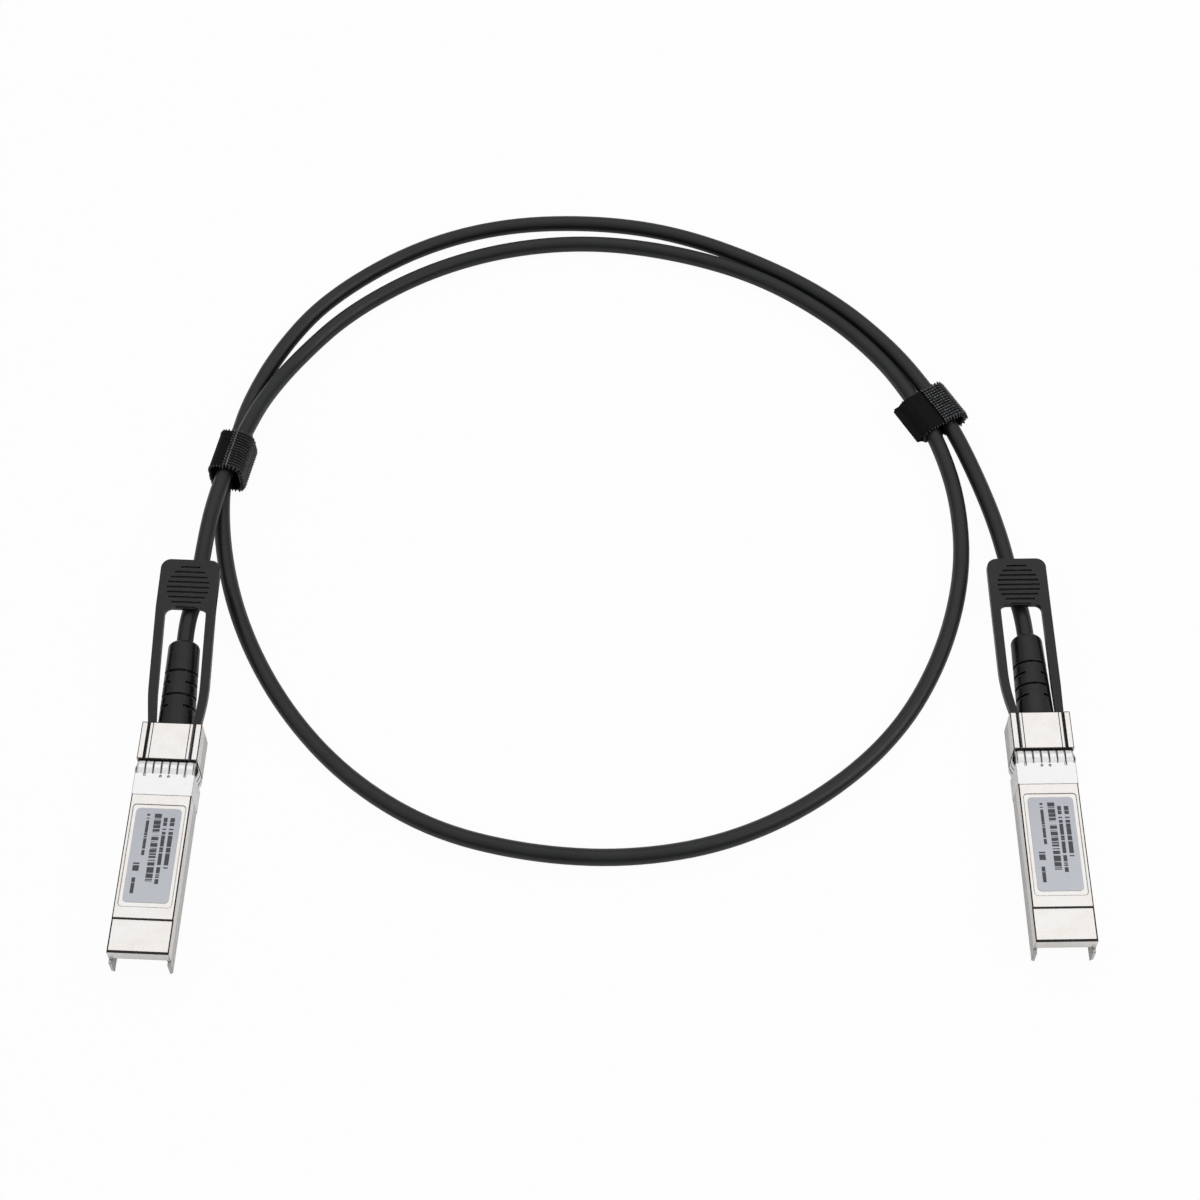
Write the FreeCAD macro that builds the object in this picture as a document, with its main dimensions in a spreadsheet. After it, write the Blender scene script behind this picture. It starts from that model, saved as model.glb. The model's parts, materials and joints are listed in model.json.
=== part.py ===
import FreeCAD, Part
import math
import os

import Sketcher

# A one-metre direct attach cable: two pluggable modules, left and right, joined by one
# black twinaxial cable that lies in a loop and is held by two hook-and-loop ties.
#
# Each module is modelled about its own point: x across it, +y towards its cable, -y into
# the cage of a switch, z up from the table. y = 0 is the cage stop, where the nose begins.

os.makedirs("parts", exist_ok=True)
doc = FreeCAD.newDocument("direct_attach_cable")
sheet = doc.addObject("Spreadsheet::Sheet", "sizes")

# ---------------------------------------------------------------- driving dimensions, mm

SIZES = [
    # the plugged part of a module
    ("body_width", 13.4),
    ("body_height", 8.5),
    ("body_length", 47.5),
    ("body_base", 0.5),
    ("lid_length", 46.6),
    ("wall", 0.8),
    ("roof", 1.0),
    ("ground", 1.2),
    ("joint_height", 4.9),
    ("corner_round", 0.35),
    ("base_chamfer", 0.6),
    # the nose, which stays outside the cage
    ("nose_width", 13.6),
    ("nose_height", 9.5),
    ("nose_length", 9.2),
    ("nose_foot", 0.5),
    ("rail_width", 1.35),
    ("rail_groove", 0.65),
    ("rail_depth", 0.55),
    ("channel_inner", 4.1),
    ("channel_outer", 6.2),
    ("channel_roof", 7.2),
    ("slider_roof", 1.25),
    ("neck_width", 6.2),
    ("neck_height", 4.6),
    ("flange_height", 6.2),
    ("flange_near", 5.2),
    ("flange_thick", 1.6),
    ("spring_wall", 0.8),
    ("spring_wall_top", 4.3),
    # the open end, where the host's connector goes in
    ("skirt", 0.7),
    ("mouth_start", 37.1),
    ("lip_depth", 1.4),
    ("lip_drop", 2.4),
    ("end_step", 0.4),
    ("end_step_at", 38.6),
    # the latch boss
    ("boss_width", 2.6),
    ("boss_height", 0.45),
    ("boss_length", 2.6),
    ("shoulder_at", 2.5),
    # the label and its recess
    ("recess_width", 11.7),
    ("recess_start", 11.2),
    ("recess_length", 24.7),
    ("recess_depth", 0.15),
    ("recess_corner", 0.8),
    ("label_width", 10.0),
    ("label_length", 22.7),
    ("label_start", 12.1),
    ("label_thick", 0.1),
    ("label_corner", 0.9),
    # the spring-finger collar
    ("collar_length", 8.8),
    ("collar_sheet", 0.22),
    ("collar_band", 5.3),
    ("finger_pitch", 1.8),
    ("finger_width", 1.5),
    ("finger_rise", 0.4),
    ("side_finger_rise", 0.65),
    ("finger_bend", 2.2),
    ("finger_tip", 0.25),
    ("side_finger_pitch", 1.9),
    ("relief_radius", 0.28),
    ("relief_at", 4.15),
    ("relief_slot", 0.45),
    ("window_width", 7.6),
    ("window_length", 6.6),
    # the circuit board
    ("board_width", 11.2),
    ("board_tongue", 5.4),
    ("edge_width", 9.2),
    ("edge_length", 8.0),
    ("board_thick", 1.0),
    ("board_lift", 2.25),
    ("board_end", 44.3),
    ("board_shoulder", 15.4),
    ("board_start", 8.2),
    ("ledge", 0.9),
    ("contact_pitch", 0.8),
    ("contact_width", 0.55),
    ("contact_length", 3.2),
    ("contact_thick", 0.06),
    ("contact_inset", 0.4),
    # what is soldered to the board
    ("chip_width", 3.9),
    ("chip_length", 4.9),
    ("chip_height", 1.3),
    ("chip_standoff", 0.1),
    ("chip_at", 24.0),
    ("leg_pitch", 1.27),
    ("leg_width", 0.42),
    ("leg_reach", 1.0),
    ("leg_thick", 0.2),
    ("capacitor_pitch", 1.6),
    ("capacitor_width", 0.5),
    ("capacitor_length", 1.0),
    ("capacitor_height", 0.5),
    ("capacitor_at", 35.0),
    # the screws
    ("screw_across", 8.6),
    ("screw_at", 12.4),
    ("screw_radius", 0.7),
    ("screw_length", 6.4),
    ("screw_head_radius", 1.3),
    ("screw_head_depth", 0.8),
    ("screw_boss_radius", 1.45),
    ("drive_radius", 0.55),
    ("drive_depth", 0.4),
    # the latch release
    ("sheet_metal", 0.5),
    ("slider_low", 0.6),
    ("slider_start", 2.6),
    ("slider_width", 11.5),
    ("prong_inner", 1.75),
    ("prong_outer", 3.35),
    ("prong_reach", 5.2),
    ("prong_wedge", 1.3),
    ("prong_drop", 0.3),
    ("ear_start", 3.6),
    ("ear_length", 2.0),
    ("ear_top", 6.8),
    ("spring_radius", 0.75),
    ("spring_bore", 0.45),
    ("spring_height", 2.6),
    ("release_travel", 2.0),
    # the pull tab
    ("tab_thick", 1.6),
    ("tab_height", 4.95),
    ("tab_end", 51.4),
    ("tab_half_width", 6.9),
    ("tab_corner", 2.3),
    ("arm_width", 2.1),
    ("arm_root_width", 1.75),
    ("arm_root", 2.9),
    ("arm_bow_start", 10.0),
    ("arm_bow_end", 17.5),
    ("arm_bend", 3.0),
    ("arm_bow", 45.0),
    ("window_end", 39.15),
    ("window_corner", 1.6),
    ("rib_back", 7.1),
    ("rib_pitch", 1.28),
    ("rib_width", 0.55),
    ("rib_depth", 0.45),
    ("rib_longest", 9.9),
    ("rib_shortest", 4.6),
    # the strain relief
    ("cable_height", 4.4),
    ("boot_end", 31.5),
    ("boot_base_radius", 4.2),
    ("boot_far_radius", 3.6),
    ("boot_round", 1.3),
    ("boot_groove", 0.7),
    ("boot_groove_depth", 0.65),
    ("boot_slot_gap", 1.7),
    ("groove_one", 14.65),
    ("groove_two", 17.45),
    ("groove_three", 20.6),
    ("groove_four", 23.4),
    ("boot_seat", 1.2),
    # the cable and what is inside it
    ("cable_radius", 1.95),
    ("straight_exit", 6.0),
    ("lead_radius", 0.85),
    ("ferrule_radius", 2.2),
    ("ferrule_near", 2.4),
    # the hook-and-loop ties
    ("strap_thick", 0.9),
    ("strap_width", 10.5),
    ("strap_overlap", 0.6),
    ("left_tie_room", 2.9),
    ("left_tie_headroom", 0.55),
    ("right_tie_room", 3.2),
    ("right_tie_headroom", 0.3),
    ("tie_flag", 1.4),
    # how high the cable is carried: over a strap, and over another strand
    ("strap_clear", 0.2),
    ("strand_clear", 0.25),
    # clearances
    ("fit_gap", 0.05),
    ("slide_gap", 0.12),
    # where the modules lie on the table
    ("right_x", 98.7),
    ("right_y", -0.45),
    ("right_turn", 0.86),
    ("left_x", -97.2),
    ("left_y", -3.25),
    ("left_turn", -2.64),
    ("left_tie_x", -89.78),
    ("left_tie_y", 80.91),
    ("left_tie_turn", -12.0),
    ("right_tie_x", 81.17),
    ("right_tie_y", 96.45),
    ("right_tie_turn", 30.0),
    # how the boots and the tabs hang on the cable: degrees up and across, and mm
    ("left_boot_raise", 5.0),
    ("left_boot_turn", 1.6),
    ("left_boot_stand", 0.5),
    ("right_boot_raise", -1.4),
    ("right_boot_turn", 0.0),
    ("right_boot_stand", 0.25),
    ("left_tab_raise", 7.0),
    ("left_bow_shift", 0.0),
    ("left_tab_shift", -0.8),
    ("right_tab_raise", 1.5),
    ("right_bow_shift", -0.8),
    ("right_tab_shift", -0.9),
]

# Heights of the cable's middle: on the table, on a tie's lower layer, over another strand,
# and on the way down from there.
LYING = "cable_radius"
STRAPPED = "strap_thick + strap_clear + cable_radius"
OVER = "strap_thick + strap_clear + strand_clear + 3*cable_radius"
HALF_DOWN = f"(({LYING}) + ({OVER}))/2"

# The loop of the cable, from one point chosen by hand to the next, mm from the frame's
# origin. The ends come from the modules. The strand from the left module stays up until it
# has crossed over the other one in the left tie.
ROUTE = [
    (-94.8, 40.0, OVER),
    (-94.2, 50.85, OVER),
    (-93.2, 63.85, OVER),
    (-90.9, 75.65, OVER),
    (-86.7, 88.15, OVER),
    (-83.3, 100.05, HALF_DOWN),
    (-76.0, 114.15, LYING),
    (-64.0, 128.65, LYING),
    (-45.5, 141.65, LYING),
    (-24.9, 149.35, LYING),
    (-3.0, 151.65, LYING),
    (19.0, 148.15, LYING),
    (39.6, 140.55, LYING),
    (57.1, 128.05, LYING),
    (69.3, 114.55, LYING),
    (76.3, 101.65, STRAPPED),
    (82.1, 87.65, STRAPPED),
    (85.9, 70.65, LYING),
    (85.3, 49.65, LYING),
    (78.7, 27.05, LYING),
    (67.2, 7.05, LYING),
    (50.0, -8.85, LYING),
    (29.5, -19.85, LYING),
    (7.0, -24.35, LYING),
    (-16.0, -23.15, LYING),
    (-38.6, -17.05, LYING),
    (-57.9, -4.15, LYING),
    (-72.9, 13.25, LYING),
    (-83.9, 33.65, LYING),
    (-90.3, 55.15, LYING),
    (-92.2, 76.05, STRAPPED),
    (-89.2, 88.65, STRAPPED),
    (-87.2, 100.65, LYING),
    (-80.7, 116.85, LYING),
    (-69.6, 133.25, LYING),
    (-48.9, 149.05, LYING),
    (-26.5, 157.15, LYING),
    (-2.0, 158.25, LYING),
    (20.0, 154.25, LYING),
    (42.9, 143.35, LYING),
    (59.8, 131.25, LYING),
    (72.5, 117.15, LYING),
    (80.5, 102.95, STRAPPED),
    (86.3, 90.55, STRAPPED),
    (91.6, 75.25, LYING),
    (95.0, 61.15, LYING),
    (97.0, 45.65, LYING),
]


def fill_sheet():
    """Put every driving dimension in its own cell, named by its alias."""
    for row, (alias, value) in enumerate(SIZES, start=1):
        sheet.set(f"A{row}", alias.replace("_", " "))
        sheet.set(f"B{row}", str(value))
        sheet.setAlias(f"B{row}", alias)
    doc.recompute()


def size(alias):
    """A driving dimension's value, read from the sheet."""
    return float(getattr(sheet, alias))


def expression(text):
    """Write a formula of aliases, such as body_width/2, as the document's own expression."""
    words = []
    word = ""
    for letter in text + " ":
        if letter.isalnum() or letter == "_":
            word += letter
            continue
        if word and word[0].isalpha():
            word = f"<<sizes>>.{word}"
        words.append(word + letter)
        word = ""
    return "".join(words).strip()


# ---------------------------------------------------------------- short words for features


def new_body(label):
    body = doc.addObject("PartDesign::Body", label)
    body.Label = label
    return body


def new_sketch(body, name, plane, offset=None):
    """A sketch on one of the body's own planes, moved along the plane's normal."""
    origin_plane = next(f for f in body.Origin.OriginFeatures if f.Role == plane)
    sketch = body.newObject("Sketcher::SketchObject", f"{body.Label}_{name}")
    sketch.AttachmentSupport = [(origin_plane, "")]
    sketch.MapMode = "FlatFace"
    if offset is not None:
        sketch.setExpression("AttachmentOffset.Base.z", expression(offset))
    return sketch


def pin_point(sketch, line, across, up, tag):
    """Hold the start of a line at a place worked out from the sheet."""
    for kind, formula in (("DistanceX", across), ("DistanceY", up)):
        amount = value_of(formula)
        index = sketch.addConstraint(Sketcher.Constraint(kind, -1, 1, line, 1, amount))
        sketch.renameConstraint(index, f"{tag}_{kind}")
        sketch.setExpression(f"Constraints.{tag}_{kind}", expression(formula))


def value_of(formula):
    """The number that a formula of aliases comes to."""
    return float(sheet.evalExpression(expression(formula)))


def polygon(sketch, corners, tag="p"):
    """A closed outline. A corner is two formulas, and a third one where it is rounded."""
    points = [FreeCAD.Vector(value_of(c[0]), value_of(c[1]), 0) for c in corners]
    count = len(points)
    first = sketch.GeometryCount
    lines = [Part.LineSegment(points[i], points[(i + 1) % count]) for i in range(count)]
    sketch.addGeometry(lines, False)
    for i in range(count):
        after = first + (i + 1) % count
        sketch.addConstraint(Sketcher.Constraint("Coincident", first + i, 2, after, 1))
    for i, corner in enumerate(corners):
        pin_point(sketch, first + i, corner[0], corner[1], f"{tag}{i}")
    for i, corner in enumerate(corners):
        if len(corner) == 3:
            round_corner(sketch, first + i, corner[2], f"{tag}{i}")


def round_corner(sketch, line, radius, tag):
    """Round the corner at a line's start, and keep the corner's own place."""
    sketch.fillet(line, 1, value_of(radius), True, True)
    arc = sketch.GeometryCount - 2
    index = sketch.addConstraint(Sketcher.Constraint("Radius", arc, value_of(radius)))
    sketch.renameConstraint(index, f"{tag}_round")
    sketch.setExpression(f"Constraints.{tag}_round", expression(radius))


def rectangle(sketch, left, right, low, high, radius=None, tag="p"):
    """A rectangle between four formulas, with its corners rounded if a radius is given."""
    corners = [(left, low), (right, low), (right, high), (left, high)]
    if radius is not None:
        corners = [corner + (radius,) for corner in corners]
    polygon(sketch, corners, tag)


def circle(sketch, across, up, radius, tag="c"):
    """A circle whose centre and radius are formulas."""
    centre = FreeCAD.Vector(value_of(across), value_of(up), 0)
    ring = Part.Circle(centre, FreeCAD.Vector(0, 0, 1), value_of(radius))
    index = sketch.addGeometry(ring, False)
    for kind, formula in (("DistanceX", across), ("DistanceY", up)):
        amount = value_of(formula)
        held = sketch.addConstraint(Sketcher.Constraint(kind, -1, 1, index, 3, amount))
        sketch.renameConstraint(held, f"{tag}_{kind}")
        sketch.setExpression(f"Constraints.{tag}_{kind}", expression(formula))
    held = sketch.addConstraint(Sketcher.Constraint("Radius", index, value_of(radius)))
    sketch.renameConstraint(held, f"{tag}_radius")
    sketch.setExpression(f"Constraints.{tag}_radius", expression(radius))


def pad(body, sketch, name, length, reverse=False, midplane=False):
    """Add material along the sketch's normal, or against it where reverse is set."""
    feature = body.newObject("PartDesign::Pad", f"{body.Label}_{name}")
    feature.Profile = sketch
    feature.Reversed = reverse
    feature.SideType = "Symmetric" if midplane else "One side"
    feature.setExpression("Length", expression(length))
    sketch.Visibility = False
    return feature


def pocket(body, sketch, name, length, reverse=False):
    """Cut against the sketch's normal, or along it where reverse is set."""
    feature = body.newObject("PartDesign::Pocket", f"{body.Label}_{name}")
    feature.Profile = sketch
    feature.Reversed = reverse
    feature.setExpression("Length", expression(length))
    sketch.Visibility = False
    return feature


def row_of(body, feature, name, plane_axis, pitch, count, reverse=False):
    """Repeat a feature along one of the body's own axes."""
    row = body.newObject("PartDesign::LinearPattern", f"{body.Label}_{name}")
    row.Originals = [feature]
    axis = next(f for f in body.Origin.OriginFeatures if f.Role == plane_axis)
    row.Direction = (axis, [""])
    row.Reversed = reverse
    row.Mode = "Spacing"
    row.setExpression("Offset", expression(pitch))
    row.Occurrences = count
    body.Tip = row
    return row


def dress(body, kind, name, base, chosen, amount):
    """Round or chamfer the edges of a feature that the test named chosen picks."""
    doc.recompute()
    names = [f"Edge{i}" for i, e in enumerate(base.Shape.Edges, 1) if chosen(e)]
    if not names:
        raise RuntimeError(f"{body.Label} {name}: no edge to dress")
    feature = body.newObject(f"PartDesign::{kind}", f"{body.Label}_{name}")
    feature.Base = (base, names)
    prop = "Radius" if kind == "Fillet" else "Size"
    feature.setExpression(prop, expression(amount))
    body.Tip = feature
    return feature


def runs_along(edge, axis):
    """True for a straight edge that runs along one axis."""
    if edge.Curve.TypeId != "Part::GeomLine":
        return False
    way = edge.tangentAt(edge.FirstParameter)
    return abs(abs(getattr(way, axis)) - 1) < 1e-6


def near(value, other, slack=1e-3):
    return abs(value - other) < slack


# ---------------------------------------------------------------- formulas used often

BODY_TOP = "(body_base + body_height)"
BOARD_LOW = "(body_base + board_lift)"
BOARD_TOP = "(body_base + board_lift + board_thick)"
INNER_HALF = "(body_width/2 - wall)"
SLIDER_END = "(nose_length - spring_wall - release_travel - 2*slide_gap)"


# ---------------------------------------------------------------- the pieces of one module


def top_shell(side):
    """The upper die casting: lid, side walls, end lip and the upper half of the nose."""
    body = new_body(f"{side}_top_shell")
    section = new_sketch(body, "section", "XZ_Plane")
    polygon(
        section,
        [
            ("-body_width/2", "joint_height"),
            ("-body_width/2", BODY_TOP, "corner_round"),
            ("body_width/2", BODY_TOP, "corner_round"),
            ("body_width/2", "joint_height"),
            (INNER_HALF, "joint_height"),
            (INNER_HALF, f"{BODY_TOP} - roof"),
            (f"-{INNER_HALF}", f"{BODY_TOP} - roof"),
            (f"-{INNER_HALF}", "joint_height"),
        ],
    )
    pad(body, section, "lid", "lid_length")

    nose = new_sketch(body, "nose_section", "XZ_Plane")
    half = "nose_width/2"
    plate = "(nose_width/2 - rail_width - rail_groove)"
    neck_top = "(cable_height + neck_height/2)"
    polygon(
        nose,
        [
            (f"-{half}", "joint_height"),
            (f"-{half}", "nose_height", "corner_round"),
            (f"-{half} + rail_width", "nose_height"),
            (f"-{half} + rail_width", "nose_height - rail_depth"),
            (f"-{plate}", "nose_height - rail_depth"),
            (f"-{plate}", "nose_height"),
            (plate, "nose_height"),
            (plate, "nose_height - rail_depth"),
            (f"{half} - rail_width", "nose_height - rail_depth"),
            (f"{half} - rail_width", "nose_height"),
            (half, "nose_height", "corner_round"),
            (half, "joint_height"),
            ("channel_outer", "joint_height"),
            ("channel_outer", "channel_roof"),
            ("channel_inner", "channel_roof"),
            ("channel_inner", "joint_height"),
            ("neck_width/2", "joint_height"),
            ("neck_width/2", neck_top),
            ("-neck_width/2", neck_top),
            ("-neck_width/2", "joint_height"),
            ("-channel_inner", "joint_height"),
            ("-channel_inner", "channel_roof"),
            ("-channel_outer", "channel_roof"),
            ("-channel_outer", "joint_height"),
        ],
    )
    pad(body, nose, "nose", "nose_length", reverse=True)

    lip = new_sketch(body, "lip_section", "XZ_Plane", "lid_length - lip_depth")
    rectangle(
        lip,
        f"-{INNER_HALF}",
        INNER_HALF,
        f"{BODY_TOP} - roof - lip_drop",
        f"{BODY_TOP} - roof",
    )
    pad(body, lip, "end_lip", "lip_depth")

    bosses = new_sketch(body, "boss_rings", "XY_Plane", "joint_height")
    for number, across in enumerate(("-screw_across/2", "screw_across/2")):
        circle(bosses, across, "-screw_at", "screw_boss_radius", f"b{number}")
    pad(body, bosses, "screw_bosses", f"{BODY_TOP} - roof/2 - joint_height")

    holes = new_sketch(body, "boss_holes", "XY_Plane", "joint_height")
    for number, across in enumerate(("-screw_across/2", "screw_across/2")):
        circle(holes, across, "-screw_at", "screw_radius + fit_gap", f"h{number}")
    pocket(body, holes, "screw_holes", "screw_length + 0.2 - joint_height + body_base", True)

    flange = new_sketch(body, "flange_section", "XZ_Plane", "-flange_near")
    rectangle(
        flange,
        "-neck_width/2",
        "neck_width/2",
        "joint_height",
        "cable_height + flange_height/2",
    )
    pocket(body, flange, "flange_pocket", "flange_thick")

    step = new_sketch(body, "step_outline", "XY_Plane", BODY_TOP)
    rectangle(step, "-body_width", "body_width", "-body_length", "-end_step_at")
    pocket(body, step, "end_step", "end_step")

    recess = new_sketch(body, "recess_outline", "XY_Plane", BODY_TOP)
    rectangle(
        recess,
        "-recess_width/2",
        "recess_width/2",
        "-recess_start - recess_length",
        "-recess_start",
        "recess_corner",
    )
    pocket(body, recess, "label_recess", "recess_depth")

    seat = new_sketch(body, "seat_section", "XZ_Plane")
    polygon(
        seat,
        [
            ("-body_width", "joint_height"),
            ("-body_width", f"{BODY_TOP} + roof"),
            ("body_width", f"{BODY_TOP} + roof"),
            ("body_width", "joint_height"),
            ("body_width/2 - collar_sheet", "joint_height"),
            ("body_width/2 - collar_sheet", f"{BODY_TOP} - collar_sheet"),
            ("-body_width/2 + collar_sheet", f"{BODY_TOP} - collar_sheet"),
            ("-body_width/2 + collar_sheet", "joint_height"),
        ],
    )
    pocket(body, seat, "collar_seat", "collar_length", reverse=True)
    return body


def bottom_shell(side):
    """The lower die casting: floor, board ledges, latch boss, skirts and lower nose."""
    body = new_body(f"{side}_bottom_shell")
    section = new_sketch(body, "section", "XZ_Plane")
    floor_top = "(body_base + ground)"
    shelf = f"({INNER_HALF} - ledge)"
    polygon(
        section,
        [
            ("-body_width/2", "joint_height"),
            ("-body_width/2", "body_base + base_chamfer"),
            ("-body_width/2 + base_chamfer", "body_base"),
            ("body_width/2 - base_chamfer", "body_base"),
            ("body_width/2", "body_base + base_chamfer"),
            ("body_width/2", "joint_height"),
            (INNER_HALF, "joint_height"),
            (INNER_HALF, BOARD_LOW),
            (shelf, BOARD_LOW),
            (shelf, floor_top),
            (f"-{shelf}", floor_top),
            (f"-{shelf}", BOARD_LOW),
            (f"-{INNER_HALF}", BOARD_LOW),
            (f"-{INNER_HALF}", "joint_height"),
        ],
    )
    pad(body, section, "tray", "body_length")

    nose = new_sketch(body, "nose_section", "XZ_Plane")
    half = "nose_width/2"
    neck_low = "(cable_height - neck_height/2)"
    polygon(
        nose,
        [
            (f"-{half}", "joint_height"),
            (f"-{half}", "0", "nose_foot"),
            ("-channel_outer", "0"),
            ("-channel_outer", "joint_height"),
        ],
        "l",
    )
    polygon(
        nose,
        [
            (half, "joint_height"),
            (half, "0", "nose_foot"),
            ("channel_outer", "0"),
            ("channel_outer", "joint_height"),
        ],
        "r",
    )
    polygon(
        nose,
        [
            ("-channel_inner", "joint_height"),
            ("-channel_inner", "slider_roof"),
            ("channel_inner", "slider_roof"),
            ("channel_inner", "joint_height"),
            ("neck_width/2", "joint_height"),
            ("neck_width/2", neck_low),
            ("-neck_width/2", neck_low),
            ("-neck_width/2", "joint_height"),
        ],
        "m",
    )
    pad(body, nose, "nose", "nose_length", reverse=True)

    web = new_sketch(body, "web_section", "XZ_Plane", "-nose_length + spring_wall")
    rectangle(web, "-nose_width/2 + nose_foot", "nose_width/2 - nose_foot", "0", "slider_roof")
    pad(body, web, "rear_sill", "spring_wall", reverse=True)
    stops = new_sketch(body, "stop_section", "XZ_Plane", "-nose_length + spring_wall")
    for number, sign in enumerate(("-", "")):
        inner = f"{sign}channel_inner"
        outer = f"{sign}channel_outer"
        rectangle(stops, inner, outer, "slider_roof", "spring_wall_top", tag=f"s{number}")
    pad(body, stops, "spring_stops", "spring_wall", reverse=True)

    flange = new_sketch(body, "flange_section", "XZ_Plane", "-flange_near")
    rectangle(
        flange,
        "-neck_width/2",
        "neck_width/2",
        "cable_height - flange_height/2",
        "joint_height",
    )
    pocket(body, flange, "flange_pocket", "flange_thick")

    mouth = new_sketch(body, "mouth_outline", "XY_Plane", "joint_height")
    rectangle(
        mouth,
        "-body_width/2 + skirt",
        "body_width/2 - skirt",
        "-body_length",
        "-mouth_start",
    )
    pocket(body, mouth, "mouth", "joint_height")

    bosses = new_sketch(body, "boss_rings", "XY_Plane", "joint_height")
    for number, across in enumerate(("-screw_across/2", "screw_across/2")):
        circle(bosses, across, "-screw_at", "screw_boss_radius", f"b{number}")
    pad(body, bosses, "screw_bosses", f"joint_height - {floor_top}", reverse=True)

    holes = new_sketch(body, "screw_circles", "XY_Plane", "joint_height")
    for number, across in enumerate(("-screw_across/2", "screw_across/2")):
        circle(holes, across, "-screw_at", "screw_radius + fit_gap", f"h{number}")
    pocket(body, holes, "screw_holes", "joint_height")

    sinks = new_sketch(body, "sink_circles", "XY_Plane", "body_base")
    for number, across in enumerate(("-screw_across/2", "screw_across/2")):
        circle(sinks, across, "-screw_at", "screw_head_radius + fit_gap", f"s{number}")
    pocket(body, sinks, "head_sinks", "screw_head_depth + fit_gap", reverse=True)

    track = new_sketch(body, "track_outline", "XY_Plane", "body_base")
    for number, sign in enumerate(("-", "")):
        rectangle(
            track,
            f"{sign}(prong_inner - slide_gap)",
            f"{sign}(prong_outer + slide_gap)",
            "-prong_reach - prong_wedge",
            "0",
            tag=f"t{number}",
        )
    pocket(body, track, "prong_tracks", "slider_roof - body_base", reverse=True)

    seat = new_sketch(body, "seat_section", "XZ_Plane")
    polygon(
        seat,
        [
            ("-body_width", "joint_height"),
            ("-body_width", "-body_base"),
            ("body_width", "-body_base"),
            ("body_width", "joint_height"),
            ("body_width/2 - collar_sheet", "joint_height"),
            ("body_width/2 - collar_sheet", "body_base + collar_sheet"),
            ("-body_width/2 + collar_sheet", "body_base + collar_sheet"),
            ("-body_width/2 + collar_sheet", "joint_height"),
        ],
    )
    pocket(body, seat, "collar_seat", "collar_length", reverse=True)

    boss = new_sketch(body, "boss_side", "YZ_Plane")
    polygon(
        boss,
        [
            ("-shoulder_at", "body_base + collar_sheet"),
            ("-shoulder_at", "body_base - boss_height"),
            ("-shoulder_at - boss_length/4", "body_base - boss_height"),
            ("-shoulder_at - boss_length", "body_base + collar_sheet"),
        ],
    )
    pad(body, boss, "latch_boss", "boss_width", midplane=True)
    return body


FINGER_BACK = "(collar_length - collar_band)"


def finger_outline(sketch, face, sign, along_first, tag, high="finger_rise"):
    """One arched finger, seen from its edge, standing out from a face of the body."""
    crown = f"-{FINGER_BACK}/2"
    tip = "-finger_tip"
    sheet_in = f"{face} - {sign}(collar_sheet)"
    rise = f"{face} + {sign}({high})"
    rise_in = f"{face} + {sign}({high} - collar_sheet)"
    corners = [
        (f"-{FINGER_BACK}", face),
        (crown, rise, "finger_bend"),
        (tip, face),
        (tip, sheet_in),
        (crown, rise_in, "finger_bend - collar_sheet"),
        (f"-{FINGER_BACK}", sheet_in),
    ]
    if not along_first:
        corners = [(c[1], c[0]) + tuple(c[2:]) for c in corners]
    polygon(sketch, corners, tag)


def emi_collar(side):
    """The stamped collar of spring fingers that grounds the module to its cage."""
    body = new_body(f"{side}_emi_collar")
    band = new_sketch(body, "band_section", "XZ_Plane", FINGER_BACK)
    rectangle(band, "-body_width/2", "body_width/2", "body_base", BODY_TOP, tag="o")
    rectangle(
        band,
        "-body_width/2 + collar_sheet",
        "body_width/2 - collar_sheet",
        "body_base + collar_sheet",
        f"{BODY_TOP} - collar_sheet",
        tag="i",
    )
    pad(body, band, "band", "collar_band")

    edge_on = new_sketch(body, "top_finger_edge", "YZ_Plane", "-3*finger_pitch")
    finger_outline(edge_on, BODY_TOP, "", True, "f")
    first = pad(body, edge_on, "top_finger", "finger_width", midplane=True)
    row_of(body, first, "top_fingers", "X_Axis", "finger_pitch", 7)

    low = "(body_base + body_height/2 - side_finger_pitch)"
    edge_on = new_sketch(body, "side_finger_edge", "XY_Plane", low)
    finger_outline(edge_on, "body_width/2", "", False, "r", "side_finger_rise")
    finger_outline(edge_on, "-body_width/2", "-", False, "l", "side_finger_rise")
    first = pad(body, edge_on, "side_finger", "finger_width", midplane=True)
    row_of(body, first, "side_fingers", "Z_Axis", "side_finger_pitch", 3)

    window = new_sketch(body, "window_outline", "XY_Plane", "body_base")
    rectangle(window, "-window_width/2", "window_width/2", "-window_length", "0")
    pocket(body, window, "latch_window", "collar_sheet", reverse=True)

    relief = new_sketch(body, "relief_outline", "XY_Plane", BODY_TOP)
    for number, sign in enumerate(("-", "")):
        circle(relief, f"{sign}finger_pitch/2", "-relief_at", "relief_radius", f"h{number}")
        rectangle(
            relief,
            f"{sign}2.5*finger_pitch - relief_slot/2",
            f"{sign}2.5*finger_pitch + relief_slot/2",
            "-relief_at",
            f"-{FINGER_BACK} + relief_slot",
            tag=f"s{number}",
        )
    pocket(body, relief, "relief_holes", "collar_sheet")
    return body


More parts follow.
